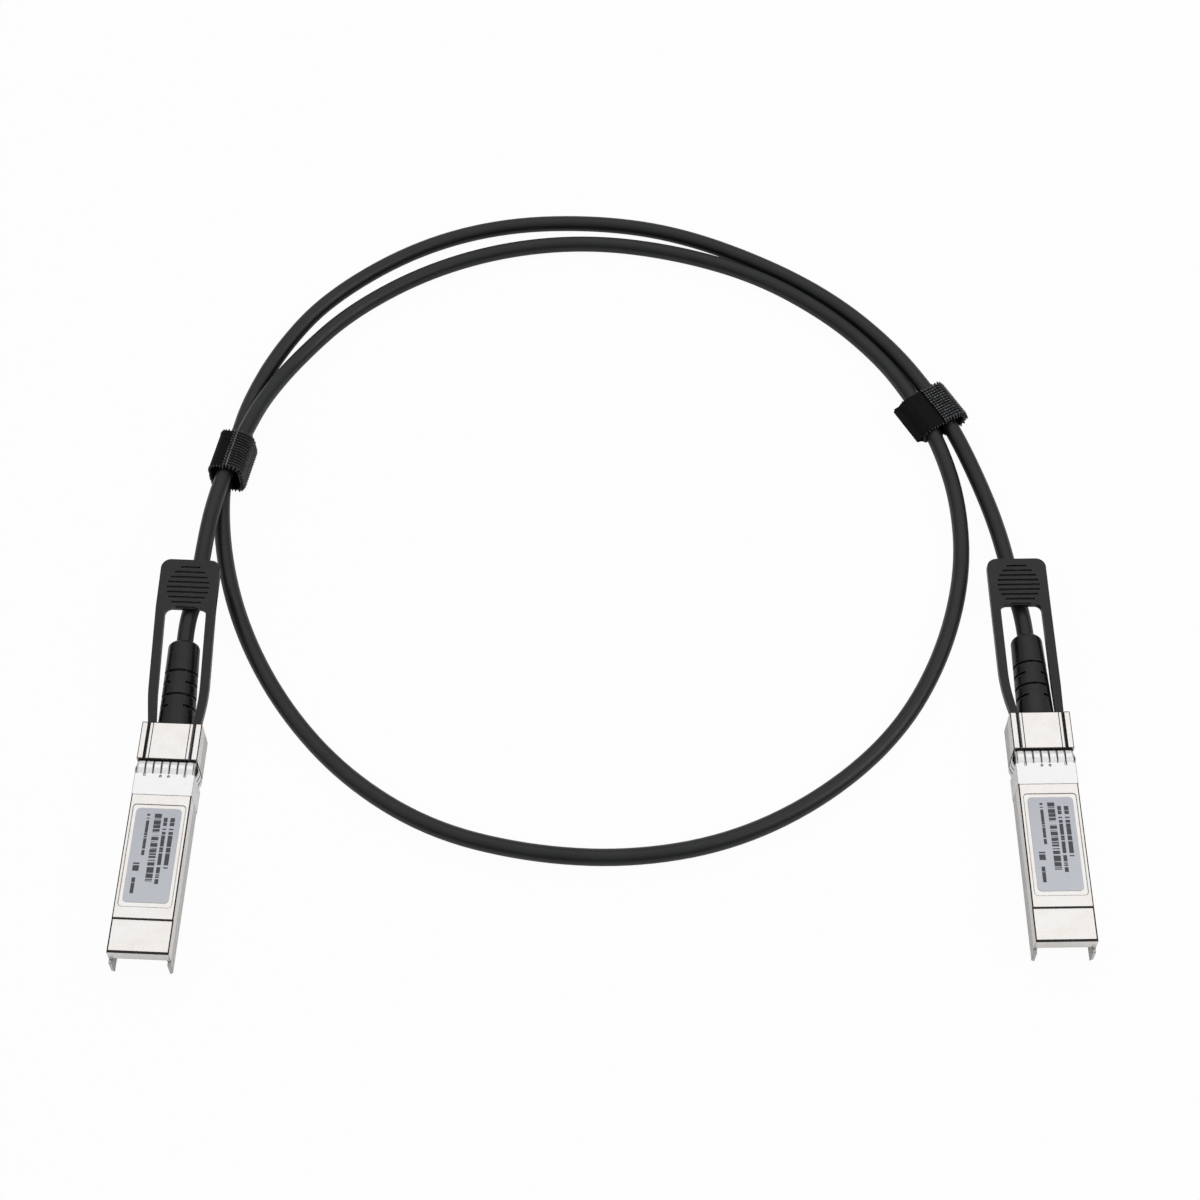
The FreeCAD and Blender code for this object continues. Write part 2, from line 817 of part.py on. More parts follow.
def circuit_board(side):
    """The board that joins the cable's conductors to the edge contacts."""
    body = new_body(f"{side}_circuit_board")
    outline = new_sketch(body, "outline", "XY_Plane", BOARD_LOW)
    neck = "(board_end - edge_length)"
    polygon(
        outline,
        [
            ("-edge_width/2", "-board_end"),
            ("edge_width/2", "-board_end"),
            ("edge_width/2", f"-{neck}"),
            ("board_width/2", f"-{neck}"),
            ("board_width/2", "-board_shoulder"),
            ("board_tongue/2", "-board_shoulder"),
            ("board_tongue/2", "-board_start"),
            ("-board_tongue/2", "-board_start"),
            ("-board_tongue/2", "-board_shoulder"),
            ("-board_width/2", "-board_shoulder"),
            ("-board_width/2", f"-{neck}"),
            ("-edge_width/2", f"-{neck}"),
        ],
    )
    plate = pad(body, outline, "plate", "board_thick")

    def front_edge(edge):
        return runs_along(edge, "x") and near(edge.CenterOfMass.y, -size("board_end"))

    dress(body, "Chamfer", "lead_in", plate, front_edge, "board_thick/4")
    return body


def edge_contacts(side):
    """Ten contacts on each face of the board's edge."""
    body = new_body(f"{side}_edge_contacts")
    for face, height, reverse in (("top", BOARD_TOP, False), ("low", BOARD_LOW, True)):
        outline = new_sketch(body, f"{face}_contact", "XY_Plane", height)
        rectangle(
            outline,
            "-4.5*contact_pitch - contact_width/2",
            "-4.5*contact_pitch + contact_width/2",
            "-board_end + contact_inset",
            "-board_end + contact_inset + contact_length",
        )
        first = pad(body, outline, f"{face}_first", "contact_thick", reverse)
        row_of(body, first, f"{face}_row", "X_Axis", "contact_pitch", 10)
    return body


def memory_chip(side):
    """The small memory chip that tells the host what the cable is, with its eight legs."""
    body = new_body(f"{side}_memory_chip")
    package = new_sketch(body, "package_outline", "XY_Plane", f"{BOARD_TOP} + chip_standoff")
    rectangle(
        package,
        "-chip_width/2",
        "chip_width/2",
        "-chip_at - chip_length/2",
        "-chip_at + chip_length/2",
    )
    pad(body, package, "package", "chip_height")
    leg = new_sketch(body, "leg_outline", "XY_Plane", BOARD_TOP)
    for number, sign in enumerate(("-", "")):
        rectangle(
            leg,
            f"{sign}(chip_width/2 - 0.1)",
            f"{sign}(chip_width/2 + leg_reach)",
            "-chip_at - 1.5*leg_pitch - leg_width/2",
            "-chip_at - 1.5*leg_pitch + leg_width/2",
            tag=f"l{number}",
        )
    first = pad(body, leg, "first_legs", "chip_standoff + leg_thick")
    row_of(body, first, "legs", "Y_Axis", "leg_pitch", 4)
    return body


def coupling_capacitors(side):
    """The row of small capacitors behind the contacts, one for each signal line."""
    body = new_body(f"{side}_coupling_capacitors")
    outline = new_sketch(body, "outline", "XY_Plane", BOARD_TOP)
    rectangle(
        outline,
        "-1.5*capacitor_pitch - capacitor_width/2",
        "-1.5*capacitor_pitch + capacitor_width/2",
        "-capacitor_at - capacitor_length",
        "-capacitor_at",
    )
    first = pad(body, outline, "first", "capacitor_height")
    row_of(body, first, "row", "X_Axis", "capacitor_pitch", 4)
    return body


def cable_leads(side):
    """The two shielded pairs, from the ferrule to the board, and their soldered ends."""
    body = new_body(f"{side}_cable_leads")
    for number, sign in enumerate(("-", "")):
        start = new_sketch(body, f"start_{number}", "XZ_Plane", "-ferrule_near")
        circle(start, f"{sign}lead_radius*1.15", "cable_height", "lead_radius")
        finish = new_sketch(body, f"finish_{number}", "XZ_Plane", "board_start + 0.4")
        circle(
            finish,
            f"{sign}(board_tongue/2 - lead_radius)",
            f"{BOARD_TOP} + lead_radius",
            "lead_radius",
        )
        loft = body.newObject("PartDesign::AdditiveLoft", f"{body.Label}_run_{number}")
        loft.Profile = start
        loft.Sections = [finish]
        foot = new_sketch(body, f"foot_{number}", "XY_Plane", BOARD_TOP)
        rectangle(
            foot,
            f"{sign}(board_tongue/2 - 2*lead_radius)",
            f"{sign}(board_tongue/2)",
            "-board_start - 3.4",
            "-board_start - 0.4",
        )
        pad(body, foot, f"foot_{number}", "0.6*lead_radius")
    return body


def crimp_ferrule(side):
    """The metal ring crimped on the cable's braid, held between the two castings."""
    body = new_body(f"{side}_crimp_ferrule")
    ring = new_sketch(body, "ring", "XZ_Plane", "-ferrule_near")
    circle(ring, "0", "cable_height", "ferrule_radius")
    pad(body, ring, "ring", "flange_near - ferrule_near - fit_gap", reverse=True)
    return body


def strain_relief(side):
    """The moulded boot: a round sleeve with flex grooves, and the flange that anchors it."""
    body = new_body(f"{side}_strain_relief")
    profile = new_sketch(body, "profile", "YZ_Plane")
    floor_radius = "- boot_groove_depth"
    near_end = f"nose_length + {side}_boot_stand"
    corners = [(near_end, "cable_height")]
    corners.append((near_end, "cable_height + boot_base_radius"))
    for place in ("groove_two", "groove_four"):
        near_side = f"{place} - boot_groove/2"
        far_side = f"{place} + boot_groove/2"
        corners.append((near_side, f"cable_height + {boot_radius(place)}"))
        corners.append((near_side, f"cable_height + {boot_radius(place)} {floor_radius}"))
        corners.append((far_side, f"cable_height + {boot_radius(place)} {floor_radius}"))
        corners.append((far_side, f"cable_height + {boot_radius(place)}"))
    corners.append(("boot_end", "cable_height + boot_far_radius", "boot_round"))
    corners.append(("boot_end", "cable_height"))
    polygon(profile, corners)
    height = size("cable_height")
    axis = Part.LineSegment(FreeCAD.Vector(0, height, 0), FreeCAD.Vector(1, height, 0))
    line = profile.addGeometry(axis, True)
    profile.addConstraint(Sketcher.Constraint("Horizontal", line))
    pin_point(profile, line, "0", "cable_height", "axis")
    hang(profile, side)
    sleeve = body.newObject("PartDesign::Revolution", f"{body.Label}_sleeve")
    sleeve.Profile = profile
    sleeve.ReferenceAxis = (profile, ["Axis0"])
    sleeve.Angle = 360
    body.Tip = sleeve

    for place in ("groove_one", "groove_three"):
        slot = new_sketch(body, f"{place}_slots", "XZ_Plane", f"-{place} - boot_groove/2")
        for number, sign in enumerate((1, -1)):
            side_slot(slot, sign, place, f"s{number}")
        hang(slot, side)
        pocket(body, slot, f"{place}_cut", "boot_groove", reverse=True)

    neck = new_sketch(body, "neck_section", "XZ_Plane", "-flange_near")
    rectangle(
        neck,
        "-neck_width/2 + fit_gap",
        "neck_width/2 - fit_gap",
        "cable_height - neck_height/2 + fit_gap",
        "cable_height + neck_height/2 - fit_gap",
    )
    reach = f"nose_length - flange_near + {side}_boot_stand + boot_seat"
    pad(body, neck, "neck", reach, reverse=True)
    flange = new_sketch(body, "flange_section", "XZ_Plane", "-flange_near")
    rectangle(
        flange,
        "-neck_width/2 + fit_gap",
        "neck_width/2 - fit_gap",
        "cable_height - flange_height/2 + fit_gap",
        "cable_height + flange_height/2 - fit_gap",
    )
    pad(body, flange, "flange", "flange_thick - fit_gap", reverse=True)
    return body


def boot_place(side):
    """How the boot hangs on its cable: turned at the nose, up or down and to one side."""
    hinge = FreeCAD.Vector(0, size("nose_length"), size("cable_height"))
    across = FreeCAD.Rotation(FreeCAD.Vector(0, 0, 1), size(f"{side}_boot_turn"))
    up = FreeCAD.Rotation(FreeCAD.Vector(1, 0, 0), size(f"{side}_boot_raise"))
    return FreeCAD.Placement(FreeCAD.Vector(), across * up, hinge)


def hang(sketch, side):
    """Take a sketch off its plane and turn it with the boot."""
    sketch.recompute()
    flat = sketch.Placement
    sketch.MapMode = "Deactivated"
    sketch.Placement = boot_place(side) * flat


def boot_radius(place):
    """The tapering boot's radius at one of its grooves, as a formula."""
    share = f"(({place} - nose_length)/(boot_end - nose_length))"
    return f"(boot_base_radius - (boot_base_radius - boot_far_radius)*{share})"


def side_slot(sketch, sign, place, tag):
    """A slot round one side of the boot, which stops short of its top and bottom."""
    across = size("boot_slot_gap")
    inner = value_of(f"{boot_radius(place)} - boot_groove_depth")
    outer = value_of("boot_base_radius + 1")
    middle = size("cable_height")
    drop_in = math.sqrt(inner**2 - across**2)
    drop_out = math.sqrt(outer**2 - across**2)

    def spot(x, z):
        return FreeCAD.Vector(sign * x, middle + z, 0)

    first = sketch.GeometryCount
    sketch.addGeometry(
        [
            Part.Arc(spot(across, -drop_in), spot(inner, 0), spot(across, drop_in)),
            Part.LineSegment(spot(across, drop_in), spot(across, drop_out)),
            Part.Arc(spot(across, drop_out), spot(outer, 0), spot(across, -drop_out)),
            Part.LineSegment(spot(across, -drop_out), spot(across, -drop_in)),
        ],
        False,
    )


def label(side):
    """The plain sticker in the lid's recess."""
    body = new_body(f"{side}_label")
    outline = new_sketch(body, "outline", "XY_Plane", f"{BODY_TOP} - recess_depth")
    rectangle(
        outline,
        "-label_width/2",
        "label_width/2",
        "-label_start - label_length",
        "-label_start",
        "label_corner",
    )
    pad(body, outline, "sticker", "label_thick")
    return body


def shell_screws(side):
    """Two countersunk screws that hold the castings together from below."""
    body = new_body(f"{side}_shell_screws")
    places = ("-screw_across/2", "screw_across/2")
    heads = new_sketch(body, "head_circles", "XY_Plane", "body_base")
    for number, across in enumerate(places):
        circle(heads, across, "-screw_at", "screw_head_radius", f"h{number}")
    pad(body, heads, "heads", "screw_head_depth")
    shanks = new_sketch(body, "shank_circles", "XY_Plane", "body_base + screw_head_depth")
    for number, across in enumerate(places):
        circle(shanks, across, "-screw_at", "screw_radius", f"s{number}")
    pad(body, shanks, "shanks", "screw_length - screw_head_depth")
    for number, across in enumerate(places):
        drive = new_sketch(body, f"drive_{number}", "XY_Plane", "body_base")
        hexagon(drive, across, "-screw_at", "drive_radius")
        pocket(body, drive, f"drive_cut_{number}", "drive_depth", reverse=True)
    return body


def hexagon(sketch, across, up, radius):
    """A six-sided outline round a centre."""
    corners = []
    for corner in range(6):
        turn = math.radians(60 * corner)
        corners.append(
            (f"{across} + {math.cos(turn):.6f}*{radius}", f"{up} + {math.sin(turn):.6f}*{radius}")
        )
    polygon(sketch, corners)


def release_slider(side):
    """The stamped slider under the nose, with two prongs beside the boss and two ears."""
    body = new_body(f"{side}_release_slider")
    outline = new_sketch(body, "outline", "XY_Plane", "slider_low")
    polygon(
        outline,
        [
            ("-slider_width/2", SLIDER_END),
            ("-slider_width/2", "slider_start"),
            ("-prong_outer", "slider_start"),
            ("-prong_outer", "-prong_reach"),
            ("-prong_inner", "-prong_reach"),
            ("-prong_inner", "slider_start - sheet_metal"),
            ("prong_inner", "slider_start - sheet_metal"),
            ("prong_inner", "-prong_reach"),
            ("prong_outer", "-prong_reach"),
            ("prong_outer", "slider_start"),
            ("slider_width/2", "slider_start"),
            ("slider_width/2", SLIDER_END),
        ],
    )
    pad(body, outline, "plate", "sheet_metal")
    for number, sign in enumerate(("-", "")):
        middle = f"{sign}(prong_inner + prong_outer)/2"
        wedge = new_sketch(body, f"wedge_{number}", "YZ_Plane", middle)
        polygon(
            wedge,
            [
                ("-prong_reach", "slider_low"),
                ("-prong_reach + prong_wedge", "slider_low"),
                ("-prong_reach + prong_wedge/4", "slider_low - prong_drop"),
                ("-prong_reach", "slider_low - prong_drop"),
            ],
        )
        pad(body, wedge, f"wedge_{number}", "prong_outer - prong_inner", midplane=True)
    ears = new_sketch(body, "ears", "XY_Plane", "slider_low")
    for number, sign in enumerate(("-", "")):
        rectangle(
            ears,
            f"{sign}(slider_width/2 - sheet_metal)",
            f"{sign}(slider_width/2)",
            "ear_start",
            "ear_start + ear_length",
            tag=f"e{number}",
        )
    pad(body, ears, "ears", "ear_top - slider_low")
    return body


def latch_springs(side):
    """The two return springs behind the slider's ears, as plain sleeves."""
    body = new_body(f"{side}_latch_springs")
    place = "((channel_inner + channel_outer)/2)"
    rings = new_sketch(body, "rings", "XZ_Plane", "-ear_start - ear_length")
    for number, sign in enumerate(("-", "")):
        circle(rings, f"{sign}{place}", "spring_height", "spring_radius", f"o{number}")
        circle(rings, f"{sign}{place}", "spring_height", "spring_bore", f"i{number}")
    reach = "nose_length - spring_wall - ear_start - ear_length"
    pad(body, rings, "sleeves", reach, reverse=True)
    return body


def pull_tab(side):
    """The moulded tab: a ribbed grip, a window for the boot and two bowed arms."""
    body = new_body(f"{side}_pull_tab")
    outline = new_sketch(body, "outline", "XY_Plane", "tab_height")
    outer = []
    inner = []
    root_in = "(channel_inner + slide_gap)"
    root_out = "(channel_inner + slide_gap + arm_root_width)"
    bow = f"{side}_bow_shift"
    middle = f"{side}_tab_shift"
    for sign in ("-", ""):
        outer_half = [
            (f"{sign}{root_out}", "arm_root"),
            (f"{sign}{root_out}", "arm_bow_start", "arm_bend"),
            (f"{bow} + {sign}tab_half_width", "arm_bow_end", "arm_bow"),
            (f"{middle} + {sign}tab_half_width", "window_end"),
            (f"{middle} + {sign}tab_half_width", "tab_end", "tab_corner"),
        ]
        inner_half = [
            (f"{sign}{root_in}", "arm_root"),
            (f"{sign}{root_in}", "arm_bow_start", "arm_bend"),
            (f"{bow} + {sign}(tab_half_width - arm_width)", "arm_bow_end", "arm_bow"),
            (f"{middle} + {sign}(tab_half_width - arm_width)", "window_end", "window_corner"),
        ]
        outer.append(outer_half)
        inner.append(inner_half)
    corners = outer[0] + outer[1][::-1] + inner[1] + inner[0][::-1]
    polygon(outline, corners)
    pad(body, outline, "tab", "tab_thick")

    ribs = new_sketch(body, "rib_outline", "XY_Plane", "tab_height + tab_thick")
    for number in range(9):
        place = f"tab_end - rib_back + ({number} - 4)*rib_pitch"
        share = 1 - ((number - 4) / 4) ** 2
        half = f"(rib_shortest + (rib_longest - rib_shortest)*{share:.4f})/2"
        rectangle(
            ribs,
            f"{middle} - {half}",
            f"{middle} + {half}",
            f"{place} - rib_width/2",
            f"{place} + rib_width/2",
            tag=f"r{number}x",
        )
    pocket(body, ribs, "ribs", "rib_depth")

    slots = new_sketch(body, "ear_slots", "XY_Plane", "tab_height")
    for number, sign in enumerate(("-", "")):
        rectangle(
            slots,
            f"{sign}(slider_width/2 - sheet_metal - fit_gap)",
            f"{sign}(slider_width/2 + fit_gap)",
            "ear_start - slide_gap",
            "ear_start + ear_length + slide_gap",
            tag=f"e{number}",
        )
    pocket(body, slots, "ear_slots_cut", "tab_thick", reverse=True)
    return body


def tab_place(side):
    """The tab stands in its module, tilted a little on the slider's ears."""
    height = size("tab_height") + size("tab_thick") / 2
    ears = FreeCAD.Vector(0, size("ear_start") + size("ear_length") / 2, height)
    tilt = FreeCAD.Rotation(FreeCAD.Vector(1, 0, 0), size(f"{side}_tab_raise"))
    return module_place(side) * FreeCAD.Placement(FreeCAD.Vector(), tilt, ears)


# ---------------------------------------------------------------- placing the modules


def module_place(side):
    """Where a module stands: its cage stop's centre, and its turn about the vertical."""
    spot = FreeCAD.Vector(size(f"{side}_x"), size(f"{side}_y"), 0)
    turn = FreeCAD.Rotation(FreeCAD.Vector(0, 0, 1), size(f"{side}_turn"))
    return FreeCAD.Placement(spot, turn)


def cable_exit(side, beyond):
    """The point on a module's cable axis that lies beyond the boot's end."""
    along = FreeCAD.Vector(0, size("boot_end") + beyond, size("cable_height"))
    return (module_place(side) * boot_place(side)).multVec(along)


# ---------------------------------------------------------------- the cable


def cable_path(points):
    """Straight runs joined by tangent arcs, each as wide as its two runs allow."""
    edges = []
    start = points[0]
    for before, corner, after in zip(points, points[1:], points[2:]):
        back = (before - corner).normalize()
        ahead = (after - corner).normalize()
        half_turn = (math.pi - back.getAngle(ahead)) / 2
        reach = 0.45 * min((before - corner).Length, (after - corner).Length)
        radius = reach / math.tan(half_turn)
        middle_way = (back + ahead).normalize()
        depth = radius / math.cos(half_turn) - radius
        first = corner + back * reach
        last = corner + ahead * reach
        print(f"arc radius {radius:7.1f} mm, turn {math.degrees(2 * half_turn):5.1f} degrees")
        edges.append(Part.LineSegment(start, first).toShape())
        edges.append(Part.Arc(first, corner + middle_way * depth, last).toShape())
        start = last
    edges.append(Part.LineSegment(start, points[-1]).toShape())
    return Part.Wire(edges)


def cable_jacket():
    """The cable's jacket, one round tube from boot to boot."""
    points = [cable_exit("left", 0), cable_exit("left", size("straight_exit"))]
    points += [FreeCAD.Vector(x, y, value_of(level)) for x, y, level in ROUTE]
    points += [cable_exit("right", size("straight_exit")), cable_exit("right", 0)]
    path = cable_path(points)
    way_out = (points[1] - points[0]).normalize()
    circle_edge = Part.Circle(points[0], way_out, size("cable_radius")).toShape()
    tube = path.makePipeShell([Part.Wire(circle_edge)], True, False)
    section = math.pi * size("cable_radius") ** 2
    print(f"cable length {path.Length:.1f} mm, radius {size('cable_radius')} mm")
    print(f"tube volume {tube.Volume:.1f}, section times length {section * path.Length:.1f} mm3")
    feature = doc.addObject("Part::Feature", "cable_jacket")
    feature.Label = "cable_jacket"
    feature.Shape = tube
    return feature


# ---------------------------------------------------------------- the ties


# Strands side by side and strands on top of each other in each tie.
TIE_STRANDS = {"left": (1, 2), "right": (2, 1)}


def hook_and_loop_tie(side):
    """A strap wound round both strands, its free end lying on the first turn."""
    body = new_body(f"{side}_tie")
    strands_across, strands_up = TIE_STRANDS[side]
    half_in = f"({strands_across}*cable_radius + {side}_tie_room/2)"
    half_out = f"({half_in} + strap_thick)"
    height = f"({strands_up}*2*cable_radius + {side}_tie_headroom)"
    ring = new_sketch(body, "ring", "XZ_Plane", "-strap_width/2")
    outer_round = "strap_thick + cable_radius"
    rectangle(
        ring, f"-{half_out}", half_out, "0", f"{height} + 2*strap_thick", outer_round, "o"
    )
    rectangle(
        ring, f"-{half_in}", half_in, "strap_thick", f"{height} + strap_thick", "cable_radius", "i"
    )
    pad(body, ring, "turn", "strap_width")

    free_end = new_sketch(body, "free_end", "XZ_Plane", "-strap_width/2")
    top = f"({height} + 2*strap_thick)"
    rectangle(free_end, "-strap_thick", f"{half_in} - strap_thick", top, f"{top} + strap_overlap")
    pad(body, free_end, "free_end_layer", "strap_width")
    if side == "right":
        tail = new_sketch(body, "tail", "XZ_Plane", "-strap_width/2")
        rectangle(
            tail,
            f"-{half_out} - tie_flag",
            f"-{half_in} - strap_thick/2",
            f"strap_thick/2 + {height}/2 - strap_thick/2",
            f"strap_thick/2 + {height}/2 + 1.5*strap_thick",
        )
        pad(body, tail, "pinched_tail", "strap_width")
    return body


def tie_place(side):
    spot = FreeCAD.Vector(size(f"{side}_tie_x"), size(f"{side}_tie_y"), 0)
    turn = FreeCAD.Rotation(FreeCAD.Vector(0, 0, 1), size(f"{side}_tie_turn"))
    return FreeCAD.Placement(spot, turn)


# ---------------------------------------------------------------- checks and files


def check_model(parts):
    """Stop if a feature failed, changed nothing, or left a shape that isn't sound."""
    for thing in doc.Objects:
        if "Invalid" in thing.State or "Error" in thing.State:
            raise RuntimeError(f"{thing.Label} failed: {thing.State}")
        base = getattr(thing, "BaseFeature", None)
        if base is None or not thing.isDerivedFrom("PartDesign::Feature"):
            continue
        if abs(thing.Shape.Volume - base.Shape.Volume) < 1e-4:
            raise RuntimeError(f"{thing.Label} changed nothing")
    for part in parts:
        if part.Shape.isNull() or not part.Shape.isValid():
            raise RuntimeError(f"{part.Label} isn't a valid shape")
        if not part.Shape.Solids:
            raise RuntimeError(f"{part.Label} holds no solid")


MODULE_PIECES = [
    top_shell,
    bottom_shell,
    emi_collar,
    circuit_board,
    edge_contacts,
    memory_chip,
    coupling_capacitors,
    cable_leads,
    crimp_ferrule,
    strain_relief,
    label,
    shell_screws,
    release_slider,
    latch_springs,
    pull_tab,
]


def main():
    fill_sheet()
    parts = []
    for side in ("left", "right"):
        for make in MODULE_PIECES:
            piece = make(side)
            piece.Placement = tab_place(side) if make is pull_tab else module_place(side)
            parts.append(piece)
        tie = hook_and_loop_tie(side)
        tie.Placement = tie_place(side)
        parts.append(tie)
    parts.append(cable_jacket())
    doc.recompute()
    check_model(parts)
    for part in parts:
        part.Shape.exportStep(f"parts/{part.Label}.step")
        print(f"{part.Label}: {len(part.Shape.Solids)} solid(s), {part.Shape.Volume:.2f} mm3")


main()
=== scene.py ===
"""Looks of a direct attach copper cable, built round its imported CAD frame. Units are metres."""

import json
import math
import random

import bmesh
import bpy
from mathutils import Euler, Matrix, Vector


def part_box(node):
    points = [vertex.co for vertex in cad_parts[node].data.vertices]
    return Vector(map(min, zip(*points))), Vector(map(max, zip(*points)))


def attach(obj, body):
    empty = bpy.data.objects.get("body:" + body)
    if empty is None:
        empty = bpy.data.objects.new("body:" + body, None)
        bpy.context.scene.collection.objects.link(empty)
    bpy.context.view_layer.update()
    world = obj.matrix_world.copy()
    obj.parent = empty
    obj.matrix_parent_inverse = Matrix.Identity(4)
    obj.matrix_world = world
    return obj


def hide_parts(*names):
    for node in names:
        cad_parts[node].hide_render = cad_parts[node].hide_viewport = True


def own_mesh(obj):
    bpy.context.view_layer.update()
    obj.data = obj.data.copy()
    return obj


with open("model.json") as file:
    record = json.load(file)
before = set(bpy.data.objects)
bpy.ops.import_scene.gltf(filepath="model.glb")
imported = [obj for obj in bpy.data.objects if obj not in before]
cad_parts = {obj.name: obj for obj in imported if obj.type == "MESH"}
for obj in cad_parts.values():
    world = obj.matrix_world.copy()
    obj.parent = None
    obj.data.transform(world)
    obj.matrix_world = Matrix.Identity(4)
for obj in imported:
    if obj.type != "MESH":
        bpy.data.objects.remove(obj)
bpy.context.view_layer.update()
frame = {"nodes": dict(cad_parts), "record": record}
NODES = frame["nodes"]
MOUNTS = {mount["name"]: mount for mount in frame["record"]["mounts"]}
SIDES = ("left", "right")
ROOT = "cable_assembly"
MM = 0.001


# ---------------------------------------------------------------- camera


CAMERA_AIM = Vector((-0.6 * MM, 44.25 * MM, 0.0))
CAMERA_ELEVATION = math.radians(58.283)
CAMERA_DISTANCE = 590.35 * MM
CAMERA_LENS = 75.0
CAMERA_SENSOR = 36.0


def add_camera():
    """A long lens in front of the object and above it, as in a product photograph."""
    data = bpy.data.cameras.new("camera")
    data.lens = CAMERA_LENS
    data.sensor_width = CAMERA_SENSOR
    data.clip_start = 0.01
    data.clip_end = 20.0
    camera = bpy.data.objects.new("camera", data)
    back = Vector((0.0, -math.cos(CAMERA_ELEVATION), math.sin(CAMERA_ELEVATION)))
    camera.location = CAMERA_AIM + back * CAMERA_DISTANCE
    camera.rotation_mode = "QUATERNION"
    camera.rotation_quaternion = (-back).to_track_quat("-Z", "Y")
    bpy.context.collection.objects.link(camera)
    bpy.context.scene.camera = camera


# ---------------------------------------------------------------- where the modules lie


def module_frame(side):
    """A module's own frame: x across it, y towards its cable, z up from the table."""
    mount = MOUNTS[f"{side}_cage_fit"]
    out = -Vector(mount["axis"]).normalized()
    up = Vector((0.0, 0.0, 1.0))
    across = out.cross(up)
    stop = Vector(mount["pos_m"])
    stop.z = 0.0
    turn = Matrix((across, out, up)).transposed()
    return Matrix.Translation(stop) @ turn.to_4x4()


MODULE = {side: module_frame(side) for side in SIDES}
# Degrees that each boot points up, and turns across.
BOOT_TILT = {"left": (5.0, 1.6), "right": (-1.4, 0.0)}
NOSE_LENGTH = 9.2 * MM
BOOT_HEIGHT = 4.4 * MM
# Along the boot's axis from the nose's face: where the cable comes out, and where it may bend.
BOOT_LENGTH = 22.3 * MM
STRAIGHT_LENGTH = 28.3 * MM
CABLE_DIAMETER = 3.9 * MM


def on_boot_axis(side, reach):
    """A point on the tilted boot's axis, so far from the nose's face."""
    up, across = BOOT_TILT[side]
    out = Vector((0.0, reach, 0.0))
    out.rotate(Euler((math.radians(up), 0.0, math.radians(across))))
    return MODULE[side] @ (Vector((0.0, NOSE_LENGTH, BOOT_HEIGHT)) + out)


CABLE_EXIT = {side: on_boot_axis(side, BOOT_LENGTH) for side in SIDES}
CABLE_STRAIGHT = {side: on_boot_axis(side, STRAIGHT_LENGTH) for side in SIDES}

# The cable's route between the two boots, the same points as in the part's source.
ROUTE = [
    (-0.0948, 0.0400, 0.0072),
    (-0.0942, 0.05085, 0.0072),
    (-0.0932, 0.06385, 0.0072),
    (-0.0909, 0.07565, 0.0072),
    (-0.0867, 0.08815, 0.0072),
    (-0.0833, 0.10005, 0.004575),
    (-0.0760, 0.11415, 0.00195),
    (-0.0640, 0.12865, 0.00195),
    (-0.0455, 0.14165, 0.00195),
    (-0.0249, 0.14935, 0.00195),
    (-0.0030, 0.15165, 0.00195),
    (0.0190, 0.14815, 0.00195),
    (0.0396, 0.14055, 0.00195),
    (0.0571, 0.12805, 0.00195),
    (0.0693, 0.11455, 0.00195),
    (0.0763, 0.10165, 0.00305),
    (0.0821, 0.08765, 0.00305),
    (0.0859, 0.07065, 0.00195),
    (0.0853, 0.04965, 0.00195),
    (0.0787, 0.02705, 0.00195),
    (0.0672, 0.00705, 0.00195),
    (0.0500, -0.00885, 0.00195),
    (0.0295, -0.01985, 0.00195),
    (0.0070, -0.02435, 0.00195),
    (-0.0160, -0.02315, 0.00195),
    (-0.0386, -0.01705, 0.00195),
    (-0.0579, -0.00415, 0.00195),
    (-0.0729, 0.01325, 0.00195),
    (-0.0839, 0.03365, 0.00195),
    (-0.0903, 0.05515, 0.00195),
    (-0.0922, 0.07605, 0.00305),
    (-0.0892, 0.08865, 0.00305),
    (-0.0872, 0.10065, 0.00195),
    (-0.0807, 0.11685, 0.00195),
    (-0.0696, 0.13325, 0.00195),
    (-0.0489, 0.14905, 0.00195),
    (-0.0265, 0.15715, 0.00195),
    (-0.0020, 0.15825, 0.00195),
    (0.0200, 0.15425, 0.00195),
    (0.0429, 0.14335, 0.00195),
    (0.0598, 0.13125, 0.00195),
    (0.0725, 0.11715, 0.00195),
    (0.0805, 0.10295, 0.00305),
    (0.0863, 0.09055, 0.00305),
    (0.0916, 0.07525, 0.00195),
    (0.0950, 0.06115, 0.00195),
    (0.0970, 0.04565, 0.00195),
]


def add_cable():
    """The whole cable as one smooth round spline, boot to boot."""
    points = [CABLE_EXIT["left"], CABLE_STRAIGHT["left"]]
    points += [Vector(spot) for spot in ROUTE]
    points += [CABLE_STRAIGHT["right"], CABLE_EXIT["right"]]
    curve = bpy.data.curves.new("cable", "CURVE")
    curve.dimensions = "3D"
    spline = curve.splines.new("NURBS")
    spline.points.add(len(points) - 1)
    for slot, spot in zip(spline.points, points):
        slot.co = (*spot, 1.0)
    spline.order_u = 3
    spline.use_endpoint_u = True
    spline.resolution_u = 8
    curve.bevel_depth = CABLE_DIAMETER / 2
    curve.bevel_resolution = 6
    curve.use_fill_caps = True
    cable = bpy.data.objects.new("cable", curve)
    bpy.context.collection.objects.link(cable)
    return cable


# ---------------------------------------------------------------- materials


